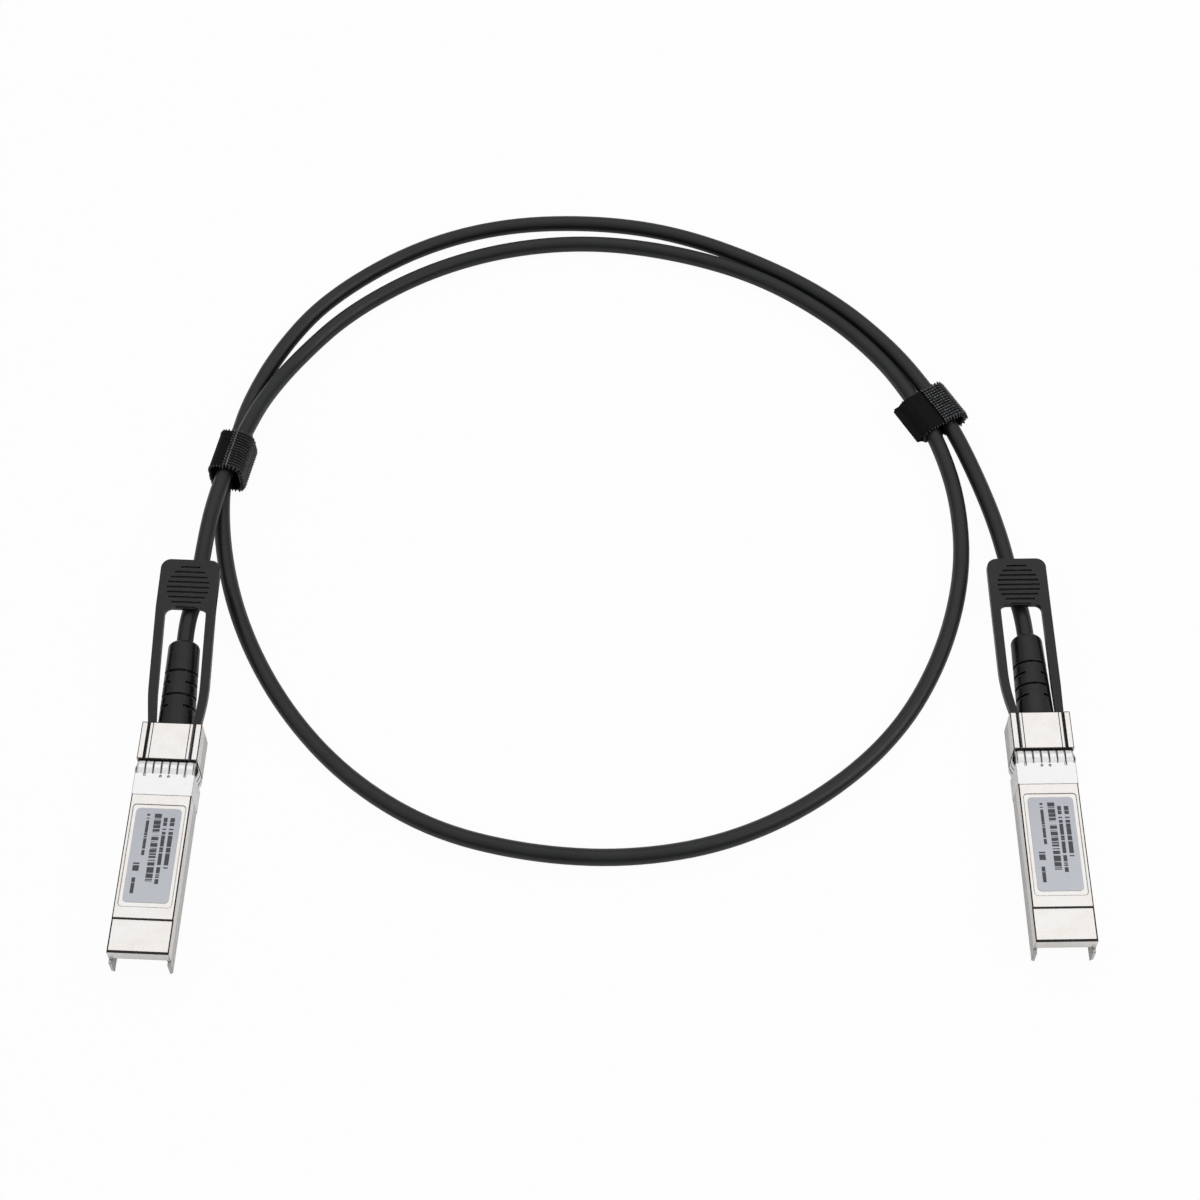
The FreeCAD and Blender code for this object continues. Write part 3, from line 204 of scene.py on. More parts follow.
class Look:
    """One procedural material, built a node at a time."""

    def __init__(self, name, **constants):
        self.material = bpy.data.materials.new(name)
        self.material.use_nodes = True
        self.tree = self.material.node_tree
        self.surface = self.tree.nodes["Principled BSDF"]
        self.spot = self.node("ShaderNodeTexCoord").outputs["Object"]
        self.set(**constants)

    def node(self, kind, feeds=(), **settings):
        """A new node with its settings, and its inputs fed by name or number."""
        made = self.tree.nodes.new(kind)
        for key, value in settings.items():
            setattr(made, key, value)
        for key, value in dict(feeds).items():
            self.feed(made.inputs[key], value)
        return made

    def feed(self, socket, value):
        """Link a node's output to a socket, or write a constant on it."""
        if isinstance(value, bpy.types.NodeSocket):
            self.tree.links.new(value, socket)
        else:
            socket.default_value = value

    def set(self, **values):
        """Feed the surface's own sockets: base_color=... goes to Base Color."""
        names = {socket.name.lower().replace(" ", "_"): socket for socket in self.surface.inputs}
        for key, value in values.items():
            self.feed(names[key], value)

    def place(self, matrix):
        """Read the textures in a module's own frame."""
        turn = matrix.to_euler()
        mapping = self.node(
            "ShaderNodeMapping",
            {"Vector": self.spot, "Location": matrix.translation, "Rotation": turn},
            vector_type="TEXTURE",
        )
        self.spot = mapping.outputs["Vector"]
        return self

    def noise(self, scale, detail=3.0, rough=0.5, stretch=None, twist=0.0):
        """Noise of so many waves a metre, stretched along an axis if asked."""
        feeds = {"Vector": self.spot, "Scale": scale, "Detail": detail}
        if stretch:
            mapped = self.node("ShaderNodeMapping", {"Vector": self.spot, "Scale": stretch})
            feeds["Vector"] = mapped.outputs["Vector"]
        feeds |= {"Roughness": rough, "Distortion": twist}
        return self.node("ShaderNodeTexNoise", feeds).outputs["Fac"]

    def cells(self, scale):
        """Distance to the nearest of so many scattered points a metre."""
        feeds = {"Vector": self.spot, "Scale": scale}
        return self.node("ShaderNodeTexVoronoi", feeds).outputs["Distance"]

    def span(self, value, low, high, from_low=0.3, from_high=0.7):
        """The value mapped to low at from_low and high at from_high, and held there outside."""
        feeds = {"Value": value, "From Min": from_low, "From Max": from_high}
        feeds |= {"To Min": low, "To Max": high}
        return self.node("ShaderNodeMapRange", feeds).outputs["Result"]

    def math(self, operation, first, second=0.0):
        """One Math node on two values."""
        made = self.node("ShaderNodeMath", operation=operation)
        self.feed(made.inputs[0], first)
        self.feed(made.inputs[1], second)
        return made.outputs["Value"]

    def near(self, value, middle, half):
        """1 within half of the middle, 0 outside."""
        made = self.node("ShaderNodeMath", {0: value, 1: middle, 2: half}, operation="COMPARE")
        return made.outputs["Value"]

    def between(self, value, low, high):
        """1 from low to high, 0 outside."""
        return self.near(value, (low + high) / 2, (high - low) / 2)

    def blend(self, amount, first, second):
        """The first colour where the amount is 0, the second where it is 1."""
        made = self.node("ShaderNodeMix", data_type="RGBA")
        self.feed(made.inputs["Factor"], amount)
        for key, colour in (("A", first), ("B", second)):
            self.feed(made.inputs[key], (*colour, 1.0) if isinstance(colour, tuple) else colour)
        return made.outputs["Result"]

    def bump(self, height, distance, strength=1.0, under=None):
        """The normal of a relief, on top of another normal if one is given."""
        feeds = {"Height": height, "Distance": distance, "Strength": strength}
        if under is not None:
            feeds["Normal"] = under
        return self.node("ShaderNodeBump", feeds).outputs["Normal"]

    def rounded(self, radius):
        """The normal of edges that look rounded by this radius."""
        return self.node("ShaderNodeBevel", {"Radius": radius}, samples=6).outputs["Normal"]

    def edges(self, rounded):
        """How near a point is to a sharp edge, from 0 to 1."""
        flat = self.node("ShaderNodeNewGeometry").outputs["Normal"]
        both = self.node("ShaderNodeVectorMath", operation="DOT_PRODUCT")
        self.feed(both.inputs[0], flat)
        self.feed(both.inputs[1], rounded)
        return self.span(both.outputs["Value"], 1.0, 0.0, 0.84, 0.995)

    def openness(self, reach, samples=6):
        """How open a point is, from 0 in a crevice to 1."""
        feeds = {"Distance": reach}
        return self.node("ShaderNodeAmbientOcclusion", feeds, samples=samples).outputs["AO"]


# The colour of painted shade in hollows.
SHADE_BLACK = (0.001, 0.001, 0.001)
# The colour of the painted shade lines on the metal.
SHADE_LINE_BLACK = (0.008, 0.008, 0.008)
INK = (0.022, 0.022, 0.026)

# Painted shade: dark lines on the metal's upward faces in its grooves, gaps and steps and along
# its edges, in millimetres in a module's frame. Each goes from and to this far out on both sides
# of the middle, and from and to this far along.
SHELL_SHADE_LINES = [
    (4.92, 5.47, 0.0, 9.2),  # the nose's rail grooves
    (4.04, 4.24, 0.0, 9.2),  # the fine lines inside them
    (6.58, 6.85, 0.0, 9.2),  # the nose's long edges
    (-0.1, 6.85, 9.0, 9.3),  # its back edge
    (-0.1, 6.85, -0.5, 0.12),  # its foot
    (6.40, 6.80, -46.7, -8.7),  # the lid's long edges
    (-0.1, 6.80, -38.84, -38.5),  # the step of the end plate
    (-0.1, 6.80, -46.7, -46.0),  # its front edge
    (6.66, 7.10, -8.8, -3.4),  # the collar's long edges
]


def painted_shade_lines(look):
    """How much of the shell's painted shade lines is at a point, from 0 to 1, on upward faces
    only.
    """
    spot = look.node("ShaderNodeSeparateXYZ", {"Vector": look.spot})
    flat = look.node("ShaderNodeNewGeometry").outputs["Normal"]
    upward = look.node("ShaderNodeSeparateXYZ", {"Vector": flat}).outputs["Z"]
    out = look.math("ABSOLUTE", spot.outputs["X"])
    drawn = 0.0
    for x0, x1, y0, y1 in SHELL_SHADE_LINES:
        across = look.between(out, x0 * MM, x1 * MM)
        along = look.between(spot.outputs["Y"], y0 * MM, y1 * MM)
        drawn = look.math("MAXIMUM", look.math("MULTIPLY", across, along), drawn)
    return look.math("MULTIPLY", drawn, look.span(upward, 0.0, 0.985, 0.25, 0.45))


def plated_metal(name, bright, warm, rough, grain, side=None):
    """Nickel plate on a casting: bright, faintly warm in patches, with painted shade where edges
    turn and in crevices.

    The plate is satin, so it is a little less than fully metallic. The dark lines of painted
    shade are painted in where a side is given, because they lie in that module's frame.
    """
    look = Look(name, metallic=0.8)
    if side:
        look.place(MODULE[side])
    rounded = look.rounded(0.24 * MM)
    patches = look.span(look.noise(150.0, 4.0, 0.6, twist=0.6), 0.0, 1.0, 0.42, 0.72)
    tone = look.blend(patches, bright, warm)
    specks = look.span(look.noise(2600.0, 2.0), 0.0, 0.12, 0.5, 0.8)
    tone = look.blend(specks, tone, tuple(0.7 * part for part in warm))
    # painted shade along the turned edges
    edge_shade = look.math("MULTIPLY", look.edges(rounded), 0.95)
    tone = look.blend(edge_shade, tone, (0.035, 0.033, 0.032))
    # painted shade in crevices and where parts meet
    crevice_shade = look.span(look.openness(1.5 * MM, 8), 1.0, 0.0, 0.3, 0.82)
    tone = look.blend(look.math("MULTIPLY", crevice_shade, 0.92), tone, (0.02, 0.02, 0.02))
    if side:
        # painted shade lines in the grooves, gaps and steps and along the edges
        tone = look.blend(painted_shade_lines(look), tone, SHADE_LINE_BLACK)
    shine = look.span(look.noise(500.0, 4.0, 0.65), rough * 0.8, rough * 1.35)
    swell = look.bump(look.noise(160.0, 3.0), 0.03 * MM, 0.35, rounded)
    look.set(base_color=tone, roughness=shine)
    look.set(normal=look.bump(look.noise(3200.0, 3.0), grain, 0.5, swell))
    return look.material


def moulded_plastic(name, deep, pale, rough, texture, edge):
    """Black moulded plastic with a fine spark-eroded texture, a painted highlight along its edges
    and painted shade in its hollows.
    """
    look = Look(name, specular_ior_level=0.40)
    rounded = look.rounded(edge)
    cloud = look.span(look.noise(120.0, 4.0, 0.6), 0.0, 1.0)
    tone = look.blend(cloud, deep, pale)
    # a painted highlight along the sharp edges, broken into patches by a noise
    pale_part = look.span(look.noise(700.0, 3.0), 0.1, 0.7)
    edge_highlight = look.math("MULTIPLY", look.edges(rounded), pale_part)
    tone = look.blend(edge_highlight, tone, tuple(18.0 * part for part in pale))
    # painted shade in hollows and grooves
    hollow_shade = look.span(look.openness(1.0 * MM), 0.8, 0.0, 0.35, 0.9)
    tone = look.blend(hollow_shade, tone, SHADE_BLACK)
    dust = look.span(look.noise(5200.0, 1.0), 0.0, 0.5, 0.66, 0.8)
    tone = look.blend(dust, tone, tuple(2.0 * part for part in pale))
    shine = look.span(look.noise(900.0, 3.0), rough - 0.06, rough + 0.08)
    look.set(base_color=tone, roughness=shine)
    look.set(normal=look.bump(look.noise(4200.0, 2.0), texture, 0.6, rounded))
    return look.material


def cable_look():
    """Extruded black jacket: satin, clouded and scuffed, its surface a little uneven."""
    look = Look("cable_black", specular_ior_level=0.40)
    cloud = look.span(look.noise(70.0, 4.0, 0.6), 0.0, 1.0)
    tone = look.blend(cloud, (0.0070, 0.0075, 0.0082), (0.0130, 0.0140, 0.0150))
    scuffs = look.span(look.noise(420.0, 5.0, 0.7, twist=1.5), 0.0, 0.3, 0.6, 0.78)
    tone = look.blend(scuffs, tone, (0.034, 0.035, 0.037))
    shine = look.span(look.noise(260.0, 5.0, 0.6), 0.30, 0.42)
    fine = look.bump(look.noise(3000.0, 2.0), 0.012 * MM, 0.5)
    look.set(base_color=tone, roughness=shine)
    look.set(normal=look.bump(look.noise(240.0, 2.0), 0.06 * MM, 0.3, fine))
    return look.material


def cloth_look(name, deep, pale):
    """Black nylon tape: thread colour, a fine pile and a soft sheen."""
    look = Look(name, specular_ior_level=0.12, sheen_weight=0.03, sheen_roughness=0.4)
    threads = look.noise(5200.0, 2.0, 0.6)
    tone = look.blend(look.span(threads, 0.0, 1.0), deep, pale)
    lint = look.span(look.noise(1500.0, 4.0, 0.7), 0.0, 0.5, 0.62, 0.8)
    tone = look.blend(lint, tone, tuple(2.6 * part for part in pale))
    look.set(base_color=tone, roughness=look.span(look.noise(1800.0, 3.0), 0.62, 0.85))
    pile = look.bump(look.cells(3600.0), 0.05 * MM, 0.5)
    look.set(normal=look.bump(threads, 0.05 * MM, 0.8, pile))
    return look.material


def hook_look(name, deep, pale):
    """The nylon hooks' own plastic, shinier than the tape under them, with painted shade in its
    hollows.
    """
    look = Look(name, specular_ior_level=0.5)
    tone = look.blend(look.span(look.noise(900.0, 3.0), 0.0, 1.0), deep, pale)
    # painted shade between and under the hooks
    hollow_shade = look.span(look.openness(0.5 * MM), 0.85, 0.0, 0.35, 0.85)
    look.set(base_color=look.blend(hollow_shade, tone, SHADE_BLACK))
    look.set(roughness=look.span(look.noise(2400.0, 2.0), 0.28, 0.45))
    look.set(normal=look.bump(look.noise(6000.0, 2.0), 0.02 * MM, 0.5))
    return look.material


# Rows of print along the label, in millimetres in a module's frame: the row's middle across
# and half its width, where it starts and ends, then gaps a metre and the noise that is ink.
PRINT_ROWS = [
    (3.3, 0.50, -26.6, -13.5, 1700.0, 0.43),
    (1.75, 0.42, -30.4, -13.6, 1700.0, 0.44),
    (-2.15, 0.34, -23.6, -13.5, 2000.0, 0.43),
    (0.0, 0.78, -29.8, -13.4, 2600.0, 0.46),
    (-3.2, 0.70, -27.4, -25.4, 1500.0, 0.42),
    (-3.3, 0.40, -32.8, -28.8, 1100.0, 0.47),
]


def label_look(side):
    """Silver polyester film, cool and faintly mottled, with fields of plain dark print."""
    look = Look(f"{side}_label_film", metallic=0.25).place(MODULE[side])
    spot = look.node("ShaderNodeSeparateXYZ", {"Vector": look.spot})
    across, along = spot.outputs["X"], spot.outputs["Y"]
    end_to_end = look.span(along, 0.0, 1.0, -34.8 * MM, -12.1 * MM)
    drift = look.math("ADD", end_to_end, look.span(look.noise(180.0, 3.0), -0.12, 0.12))
    tone = look.blend(drift, (0.59, 0.62, 0.66), (0.545, 0.555, 0.61))
    fleck = look.span(look.noise(7000.0, 1.0), 0.0, 0.25, 0.55, 0.75)
    tone = look.blend(fleck, tone, (0.72, 0.74, 0.78))
    for middle, half, first, last, scale, least in PRINT_ROWS:
        dashes = look.noise(scale, 1.0, stretch=(0.02, 1.0, 0.02))
        row = look.near(across, middle * MM, half * MM)
        inside = look.math("MULTIPLY", row, look.between(along, first * MM, last * MM))
        inked = look.span(dashes, 0.0, 0.92, least, least + 0.03)
        tone = look.blend(look.math("MULTIPLY", inside, inked), tone, INK)
    look.set(base_color=tone, roughness=look.span(look.noise(1200.0, 3.0), 0.36, 0.48))
    grain = look.noise(2600.0, 2.0)
    look.set(normal=look.bump(grain, 0.01 * MM, 0.4, look.rounded(0.05 * MM)))
    return look.material


def plain_look(name, deep, pale, rough, scale, metallic=0.0):
    """The finish of a small or hidden piece: two tones, a grain and softened edges."""
    look = Look(name, metallic=metallic)
    rounded = look.rounded(0.05 * MM)
    tone = look.blend(look.span(look.noise(scale, 4.0, 0.6), 0.0, 1.0), deep, pale)
    shine = look.span(look.noise(scale * 2.2, 3.0), rough * 0.8, rough * 1.25)
    look.set(base_color=tone, roughness=shine)
    look.set(normal=look.bump(look.noise(scale * 3.0, 2.0), 0.02 * MM, 0.5, rounded))
    return look.material


def board_look():
    """Green solder resist over a grid of tracks, with the weave of the glass just showing."""
    look = Look("board_green", coat_weight=0.35, coat_roughness=0.15)
    feeds = {"Vector": look.spot, "Scale": 700.0, "Mortar Size": 0.035}
    line = look.node("ShaderNodeTexBrick", feeds).outputs["Fac"]
    tone = look.blend(line, (0.010, 0.085, 0.040), (0.030, 0.150, 0.070))
    mottle = look.span(look.noise(900.0, 3.0), 0.0, 0.35)
    tone = look.blend(mottle, tone, (0.006, 0.045, 0.022))
    look.set(base_color=tone, roughness=look.span(look.noise(1500.0, 2.0), 0.3, 0.42))
    weave = look.bump(look.noise(3800.0, 2.0), 0.01 * MM)
    look.set(normal=look.bump(line, 0.02 * MM, 0.6, weave))
    return look.material


def paint(name, material):
    """Give a CAD node its finish in every slot."""
    mesh = NODES[name].data
    for number in range(len(mesh.materials)):
        mesh.materials[number] = material
    if not mesh.materials:
        mesh.materials.append(material)


# The plain looks of both modules' pieces: a look's name, its two tones, how rough, the scale
# of its grain and how metallic.
PLAIN_FINISHES = {
    "edge_contacts": ("gold_flash", (0.80, 0.55, 0.20), (0.95, 0.72, 0.34), 0.2, 900.0, 1.0),
    "memory_chip": ("chip_resin", (0.010, 0.010, 0.011), (0.026, 0.026, 0.028), 0.5, 1500.0),
    "coupling_capacitors": (
        "capacitor_tan",
        (0.28, 0.20, 0.14),
        (0.46, 0.36, 0.27),
        0.45,
        2400.0,
    ),
    "cable_leads": ("foil_silver", (0.55, 0.55, 0.57), (0.80, 0.80, 0.82), 0.3, 1200.0, 0.9),
    "crimp_ferrule": ("copper_crimp", (0.55, 0.27, 0.16), (0.80, 0.45, 0.30), 0.3, 900.0, 1.0),
    "shell_screws": ("screw_zinc", (0.42, 0.42, 0.43), (0.66, 0.66, 0.66), 0.28, 1400.0, 1.0),
    "release_slider": ("slider_steel", (0.48, 0.48, 0.48), (0.72, 0.72, 0.71), 0.25, 800.0, 1.0),
}


def finish_nodes():
    """Materials of all the CAD nodes that stay in view."""
    finishes = {piece: plain_look(*values) for piece, values in PLAIN_FINISHES.items()}
    finishes["circuit_board"] = board_look()
    finishes["bottom_shell"] = plated_metal(
        "plated_body", (0.60, 0.60, 0.59), (0.68, 0.66, 0.64), 0.30, 0.020 * MM
    )
    boot = (0.0030, 0.0030, 0.0034), (0.0090, 0.0090, 0.0100)
    finishes["strain_relief"] = moulded_plastic("boot_black", *boot, 0.28, 0.016 * MM, 0.25 * MM)
    tab = (0.0025, 0.0025, 0.0028), (0.0075, 0.0075, 0.0083)
    finishes["pull_tab"] = moulded_plastic("tab_black", *tab, 0.25, 0.014 * MM, 0.28 * MM)
    nickel = (0.90, 0.88, 0.86), (0.88, 0.82, 0.77)
    spring_strip = (0.90, 0.90, 0.90), (0.88, 0.875, 0.87)
    for side in SIDES:
        for piece, material in finishes.items():
            paint(f"{side}_{piece}", material)
        shell = plated_metal(f"{side}_plated_shell", *nickel, 0.24, 0.005 * MM, side)
        paint(f"{side}_top_shell", shell)
        collar = plated_metal(f"{side}_collar_bright", *spring_strip, 0.20, 0.004 * MM, side)
        paint(f"{side}_emi_collar", collar)
        paint(f"{side}_label", label_look(side))


# ---------------------------------------------------------------- building with meshes


def add_mesh(name, build, material, smooth=False):
    """A new piece from a function that fills a bmesh."""
    shape = bmesh.new()
    build(shape)
    bmesh.ops.recalc_face_normals(shape, faces=shape.faces)
    mesh = bpy.data.meshes.new(name)
    shape.to_mesh(mesh)
    shape.free()
    if smooth:
        mesh.polygons.foreach_set("use_smooth", [True] * len(mesh.polygons))
    mesh.materials.append(material)
    piece = bpy.data.objects.new(name, mesh)
    bpy.context.collection.objects.link(piece)
    return piece


def add_tube(shape, rings):
    """A closed solid through a row of equal rings."""
    rows = [[shape.verts.new(spot) for spot in ring] for ring in rings]
    for low, high in zip(rows, rows[1:]):
        for here in range(len(low)):
            after = (here + 1) % len(low)
            shape.faces.new((low[here], low[after], high[after], high[here]))
    shape.faces.new(rows[0][::-1])
    shape.faces.new(rows[-1])


# ---------------------------------------------------------------- hook-and-loop ties

# A tie's own frame has x across the strands, y along them, which is across the strap, and z up.
ACROSS_STRAP = Vector((0.0, 1.0, 0.0))
STRAP_WIDTH = 10.5 * MM
# The strap's thickness in the CAD solid, that of one layer of tape here, and of the free end's.
STRAP_THICK = 0.9 * MM
TAPE = 0.54 * MM
FLAG_TAPE = 0.5 * MM
# How each tie is turned, its ring's inner width and height, and how far its free end stands out.
TIE_TURN = {"left": math.radians(-12.0), "right": math.radians(30.0)}
TIE_INNER = {"left": (6.8 * MM, 8.35 * MM), "right": (11.0 * MM, 4.2 * MM)}
TIE_FLAG = {"left": 0.0, "right": 1.4 * MM}
# The part of the way round, from the top's middle over the left, that the outer turn covers.
OUTER_TURN = {"left": (0.605, 1.0), "right": (0.68, 1.0)}
# Steps of hooks at the outer turn's end that are worn down to pale heads.
PALE_ROWS = {"left": 1, "right": 6}
# Hooks in rows round the cable, each row on a rib.
HOOK_ROWS = 14
HOOK_PITCH = STRAP_WIDTH / HOOK_ROWS
HOOK_SIZE = 0.3 * MM
RIB_HALF = 0.27 * HOOK_PITCH
RIB_RISE = 0.27 * MM
# Steps along the strap: of the tape and ribs, of the hooks and teeth, and of the free end.
FINE_STEP = 0.35 * MM
COARSE_STEP = 0.78 * MM
FLAG_STEP = 0.3 * MM
SEEDS = {"hooks": 3, "outer_rim": 4, "over": 5, "inner_rim": 6, "under": 6, "studs": 8}
SEEDS |= {"inner": 11, "outer": 12}


def tie_frame(side):
    """A tie's own frame, on the table in the middle of its ring."""
    low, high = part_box(f"{side}_tie")
    middle = (Vector(low) + Vector(high)) / 2
    turn = Matrix.Rotation(TIE_TURN[side], 4, "Z")
    middle.z = 0.0
    middle -= turn @ Vector((-TIE_FLAG[side] / 2, 0.0, 0.0))
    return Matrix.Translation(middle) @ turn


def round_path(width, height, low, radius, steps=7):
    """A rounded rectangle in x and z, anticlockwise from the middle of its top."""
    half = width / 2
    spots = [(0.0, low + height)]
    centres = [
        (-half + radius, low + height - radius, 90.0),
        (-half + radius, low + radius, 180.0),
        (half - radius, low + radius, 270.0),
        (half - radius, low + height - radius, 0.0),
    ]
    for x, z, start in centres:
        for step in range(steps + 1):
            angle = math.radians(start + 90.0 * step / steps)
            spots.append((x + radius * math.cos(angle), z + radius * math.sin(angle)))
    spots.append(spots[0])
    return spots


def resample(spots, step):
    """The same path in equal steps: at each, the point, the way along and the way out."""
    lengths = [0.0]
    for (x0, z0), (x1, z1) in zip(spots, spots[1:]):
        lengths.append(lengths[-1] + math.hypot(x1 - x0, z1 - z0))
    count = max(2, round(lengths[-1] / step))
    out = []
    for number in range(count + 1):
        want = lengths[-1] * number / count
        here = max(i for i in range(len(spots) - 1) if lengths[i] <= want + 1e-12)
        part = (want - lengths[here]) / max(lengths[here + 1] - lengths[here], 1e-12)
        x0, z0 = spots[here]
        x1, z1 = spots[here + 1]
        away = Vector((x1 - x0, 0.0, z1 - z0)).normalized()
        out.append((Vector((x0 + part * (x1 - x0), 0.0, z0 + part * (z1 - z0))), away))
    smooth = []
    for number, (spot, away) in enumerate(out):
        before = out[max(number - 1, 0)][1]
        ahead = out[min(number + 1, count)][1]
        along = (before + away + ahead).normalized()
        smooth.append((spot, along, ACROSS_STRAP.cross(along)))
    return smooth


def add_band(shape, path, thick, width, place, wobble, seed):
    """A strap of woven tape along a path, its edges a little uneven."""
    rng = random.Random(seed)
    rings = []
    for spot, _along, out in path:
        ring = []
        left = -width / 2 + wobble * rng.uniform(-1.0, 1.0)
        right = width / 2 + wobble * rng.uniform(-1.0, 1.0)
        for across, lift in ((left, -0.5), (right, -0.5), (right, 0.5), (left, 0.5)):
            ring.append(place @ (spot + out * (thick * lift) + ACROSS_STRAP * across))
        rings.append(ring)
    add_tube(shape, rings)


# A hook's outline: how far it leans and rises and how thick it is, in parts of its size.
HOOK_PROFILE = [(0.0, 0.0, 1.0), (0.1, 0.55, 0.85), (0.45, 0.92, 0.7), (0.95, 0.78, 0.45)]


def row_offsets():
    """How far each row of hooks lies from the strap's middle."""
    return [(row - (HOOK_ROWS - 1) / 2) * HOOK_PITCH for row in range(HOOK_ROWS)]


def add_hook(shape, place, base, along, out, size):
    """One moulded hook: a stem that leans along the strap and turns over at its tip."""
    rings = []
    for lean, rise, wide in HOOK_PROFILE:
        centre = base + along * (lean * size) + out * (rise * size)
        half_side = ACROSS_STRAP * (0.22 * size * wide)
        half_deep = along * (0.26 * size * wide)
        if lean > 0.3:
            half_deep = out * (0.2 * size * wide)
        ring = [centre - half_side - half_deep, centre + half_side - half_deep]
        ring += [centre + half_side + half_deep, centre - half_side + half_deep]
        rings.append([place @ spot for spot in ring])
    add_tube(shape, rings)


def add_ribs(shape, path, place):
    """Ribs of the hook tape that run round the cable, one under each row of hooks."""
    crest = 0.35 * RIB_HALF
    for across in row_offsets():
        rings = []
        for spot, _along, out in path:
            ring = [spot + ACROSS_STRAP * (across + half) for half in (-RIB_HALF, RIB_HALF)]
            for half in (crest, -crest):
                ring.append(spot + ACROSS_STRAP * (across + half) + out * RIB_RISE)
            rings.append([place @ point for point in ring])
        add_tube(shape, rings)


def add_hook_field(shape, path, place):
    """Rows of hooks along a path, alternate rows leaning opposite ways."""
    rng = random.Random(SEEDS["hooks"])
    for row, across in enumerate(row_offsets()):
        lean = 1.0 if row % 2 else -1.0
        for spot, along, out in path:
            jitter = ACROSS_STRAP * (across + rng.uniform(-0.05, 0.05) * HOOK_PITCH)
            way = along * lean * rng.uniform(0.8, 1.15)
            add_hook(shape, place, spot + jitter, way, out, HOOK_SIZE * rng.uniform(0.85, 1.1))


def add_studs(shape, path, place):
    """Low worn hook heads, one on each rib at each step of the path."""
    rng = random.Random(SEEDS["studs"])
    corners = ((-1, -1), (1, -1), (1, 1), (-1, 1))
    for across in row_offsets():
        for spot, along, out in path:
            half = 0.15 * MM * rng.uniform(0.7, 1.2)
            centre = spot + ACROSS_STRAP * (across + rng.uniform(-0.05, 0.05) * MM)
            foot = centre - out * 0.1 * MM
            low = [foot + along * (half * x) + ACROSS_STRAP * (half * y) for x, y in corners]
            high = [centre + (corner - centre) * 0.6 + out * 0.16 * MM for corner in low]
            add_tube(shape, [[place @ spot for spot in ring] for ring in (low, high)])


def add_rim_teeth(shape, path, width, reach, place, seed):
    """Cut hooks that stick out of the strap's two edges like saw teeth."""
    rng = random.Random(seed)
    # the tooth's foot: how far along the strap and how far out of it each corner lies
    corners = ((0.24, -0.3), (-0.24, -0.3), (-0.2, 0.42), (0.2, 0.42))
    for edge in (-1.0, 1.0):
        for spot, along, out in path:
            way = ACROSS_STRAP * edge
            base = spot + way * (width / 2 - 0.1 * MM)
            length = reach * rng.uniform(0.55, 1.15)
            tip = base + way * length + out * (0.25 * length)
            tip += along * rng.uniform(-0.1, 0.1) * MM
            low = [base + along * x * MM + out * z * MM for x, z in corners]
            high = [tip + (corner - base) * 0.22 for corner in low]
            add_tube(shape, [[place @ spot for spot in ring] for ring in (low, high)])


def part_of(path, first, last):
    """The points from and to these parts of a path's length."""
    count = len(path) - 1
    return path[round(first * count) : round(last * count) + 1]


def lifted(path, amount):
    """The same path moved outwards."""
    return [(spot + out * amount, along, out) for spot, along, out in path]


def add_flag(shape, side, place):
    """The pinched free end of the right tie, smooth side up, that stands out past the strands."""
    half = TIE_INNER[side][0] / 2
    top = STRAP_THICK + TIE_INNER[side][1]
    tip = -half - STRAP_THICK - TIE_FLAG[side]
    middle = (STRAP_THICK + top) / 2
    over = [
        (-0.6 * MM, top + 0.75 * MM),
        (-half + 1.2 * MM, top + 0.62 * MM),
        (-half, top - 0.1 * MM),
        (-half - 1.0 * MM, middle + 0.75 * MM),
        (tip, middle + 0.4 * MM),
    ]
    under = [
        (-half + 0.6 * MM, 0.62 * MM),
        (-half - 0.9 * MM, middle - 0.7 * MM),
        (tip, middle - 0.25 * MM),
    ]
    for line, seed in ((over, SEEDS["over"]), (under, SEEDS["under"])):
        path = resample(line[::-1], FLAG_STEP)
        add_band(shape, path, FLAG_TAPE, STRAP_WIDTH, place, 0.04 * MM, seed)


def add_cut_edge(shape, spot, along, out, place):
    """A thin wavy bead across the strap, where its end is cut and sealed."""
    steps = 42
    length = STRAP_WIDTH - 0.4 * MM
    rings = []
    for step in range(steps + 1):
        across = (step / steps - 0.5) * length
        centre = spot + ACROSS_STRAP * across + out * (0.04 * MM * math.sin(step * 2.1))
        rings.append([place @ (centre + way * 0.17 * MM) for way in (along, out, -along, -out)])
    add_tube(shape, rings)


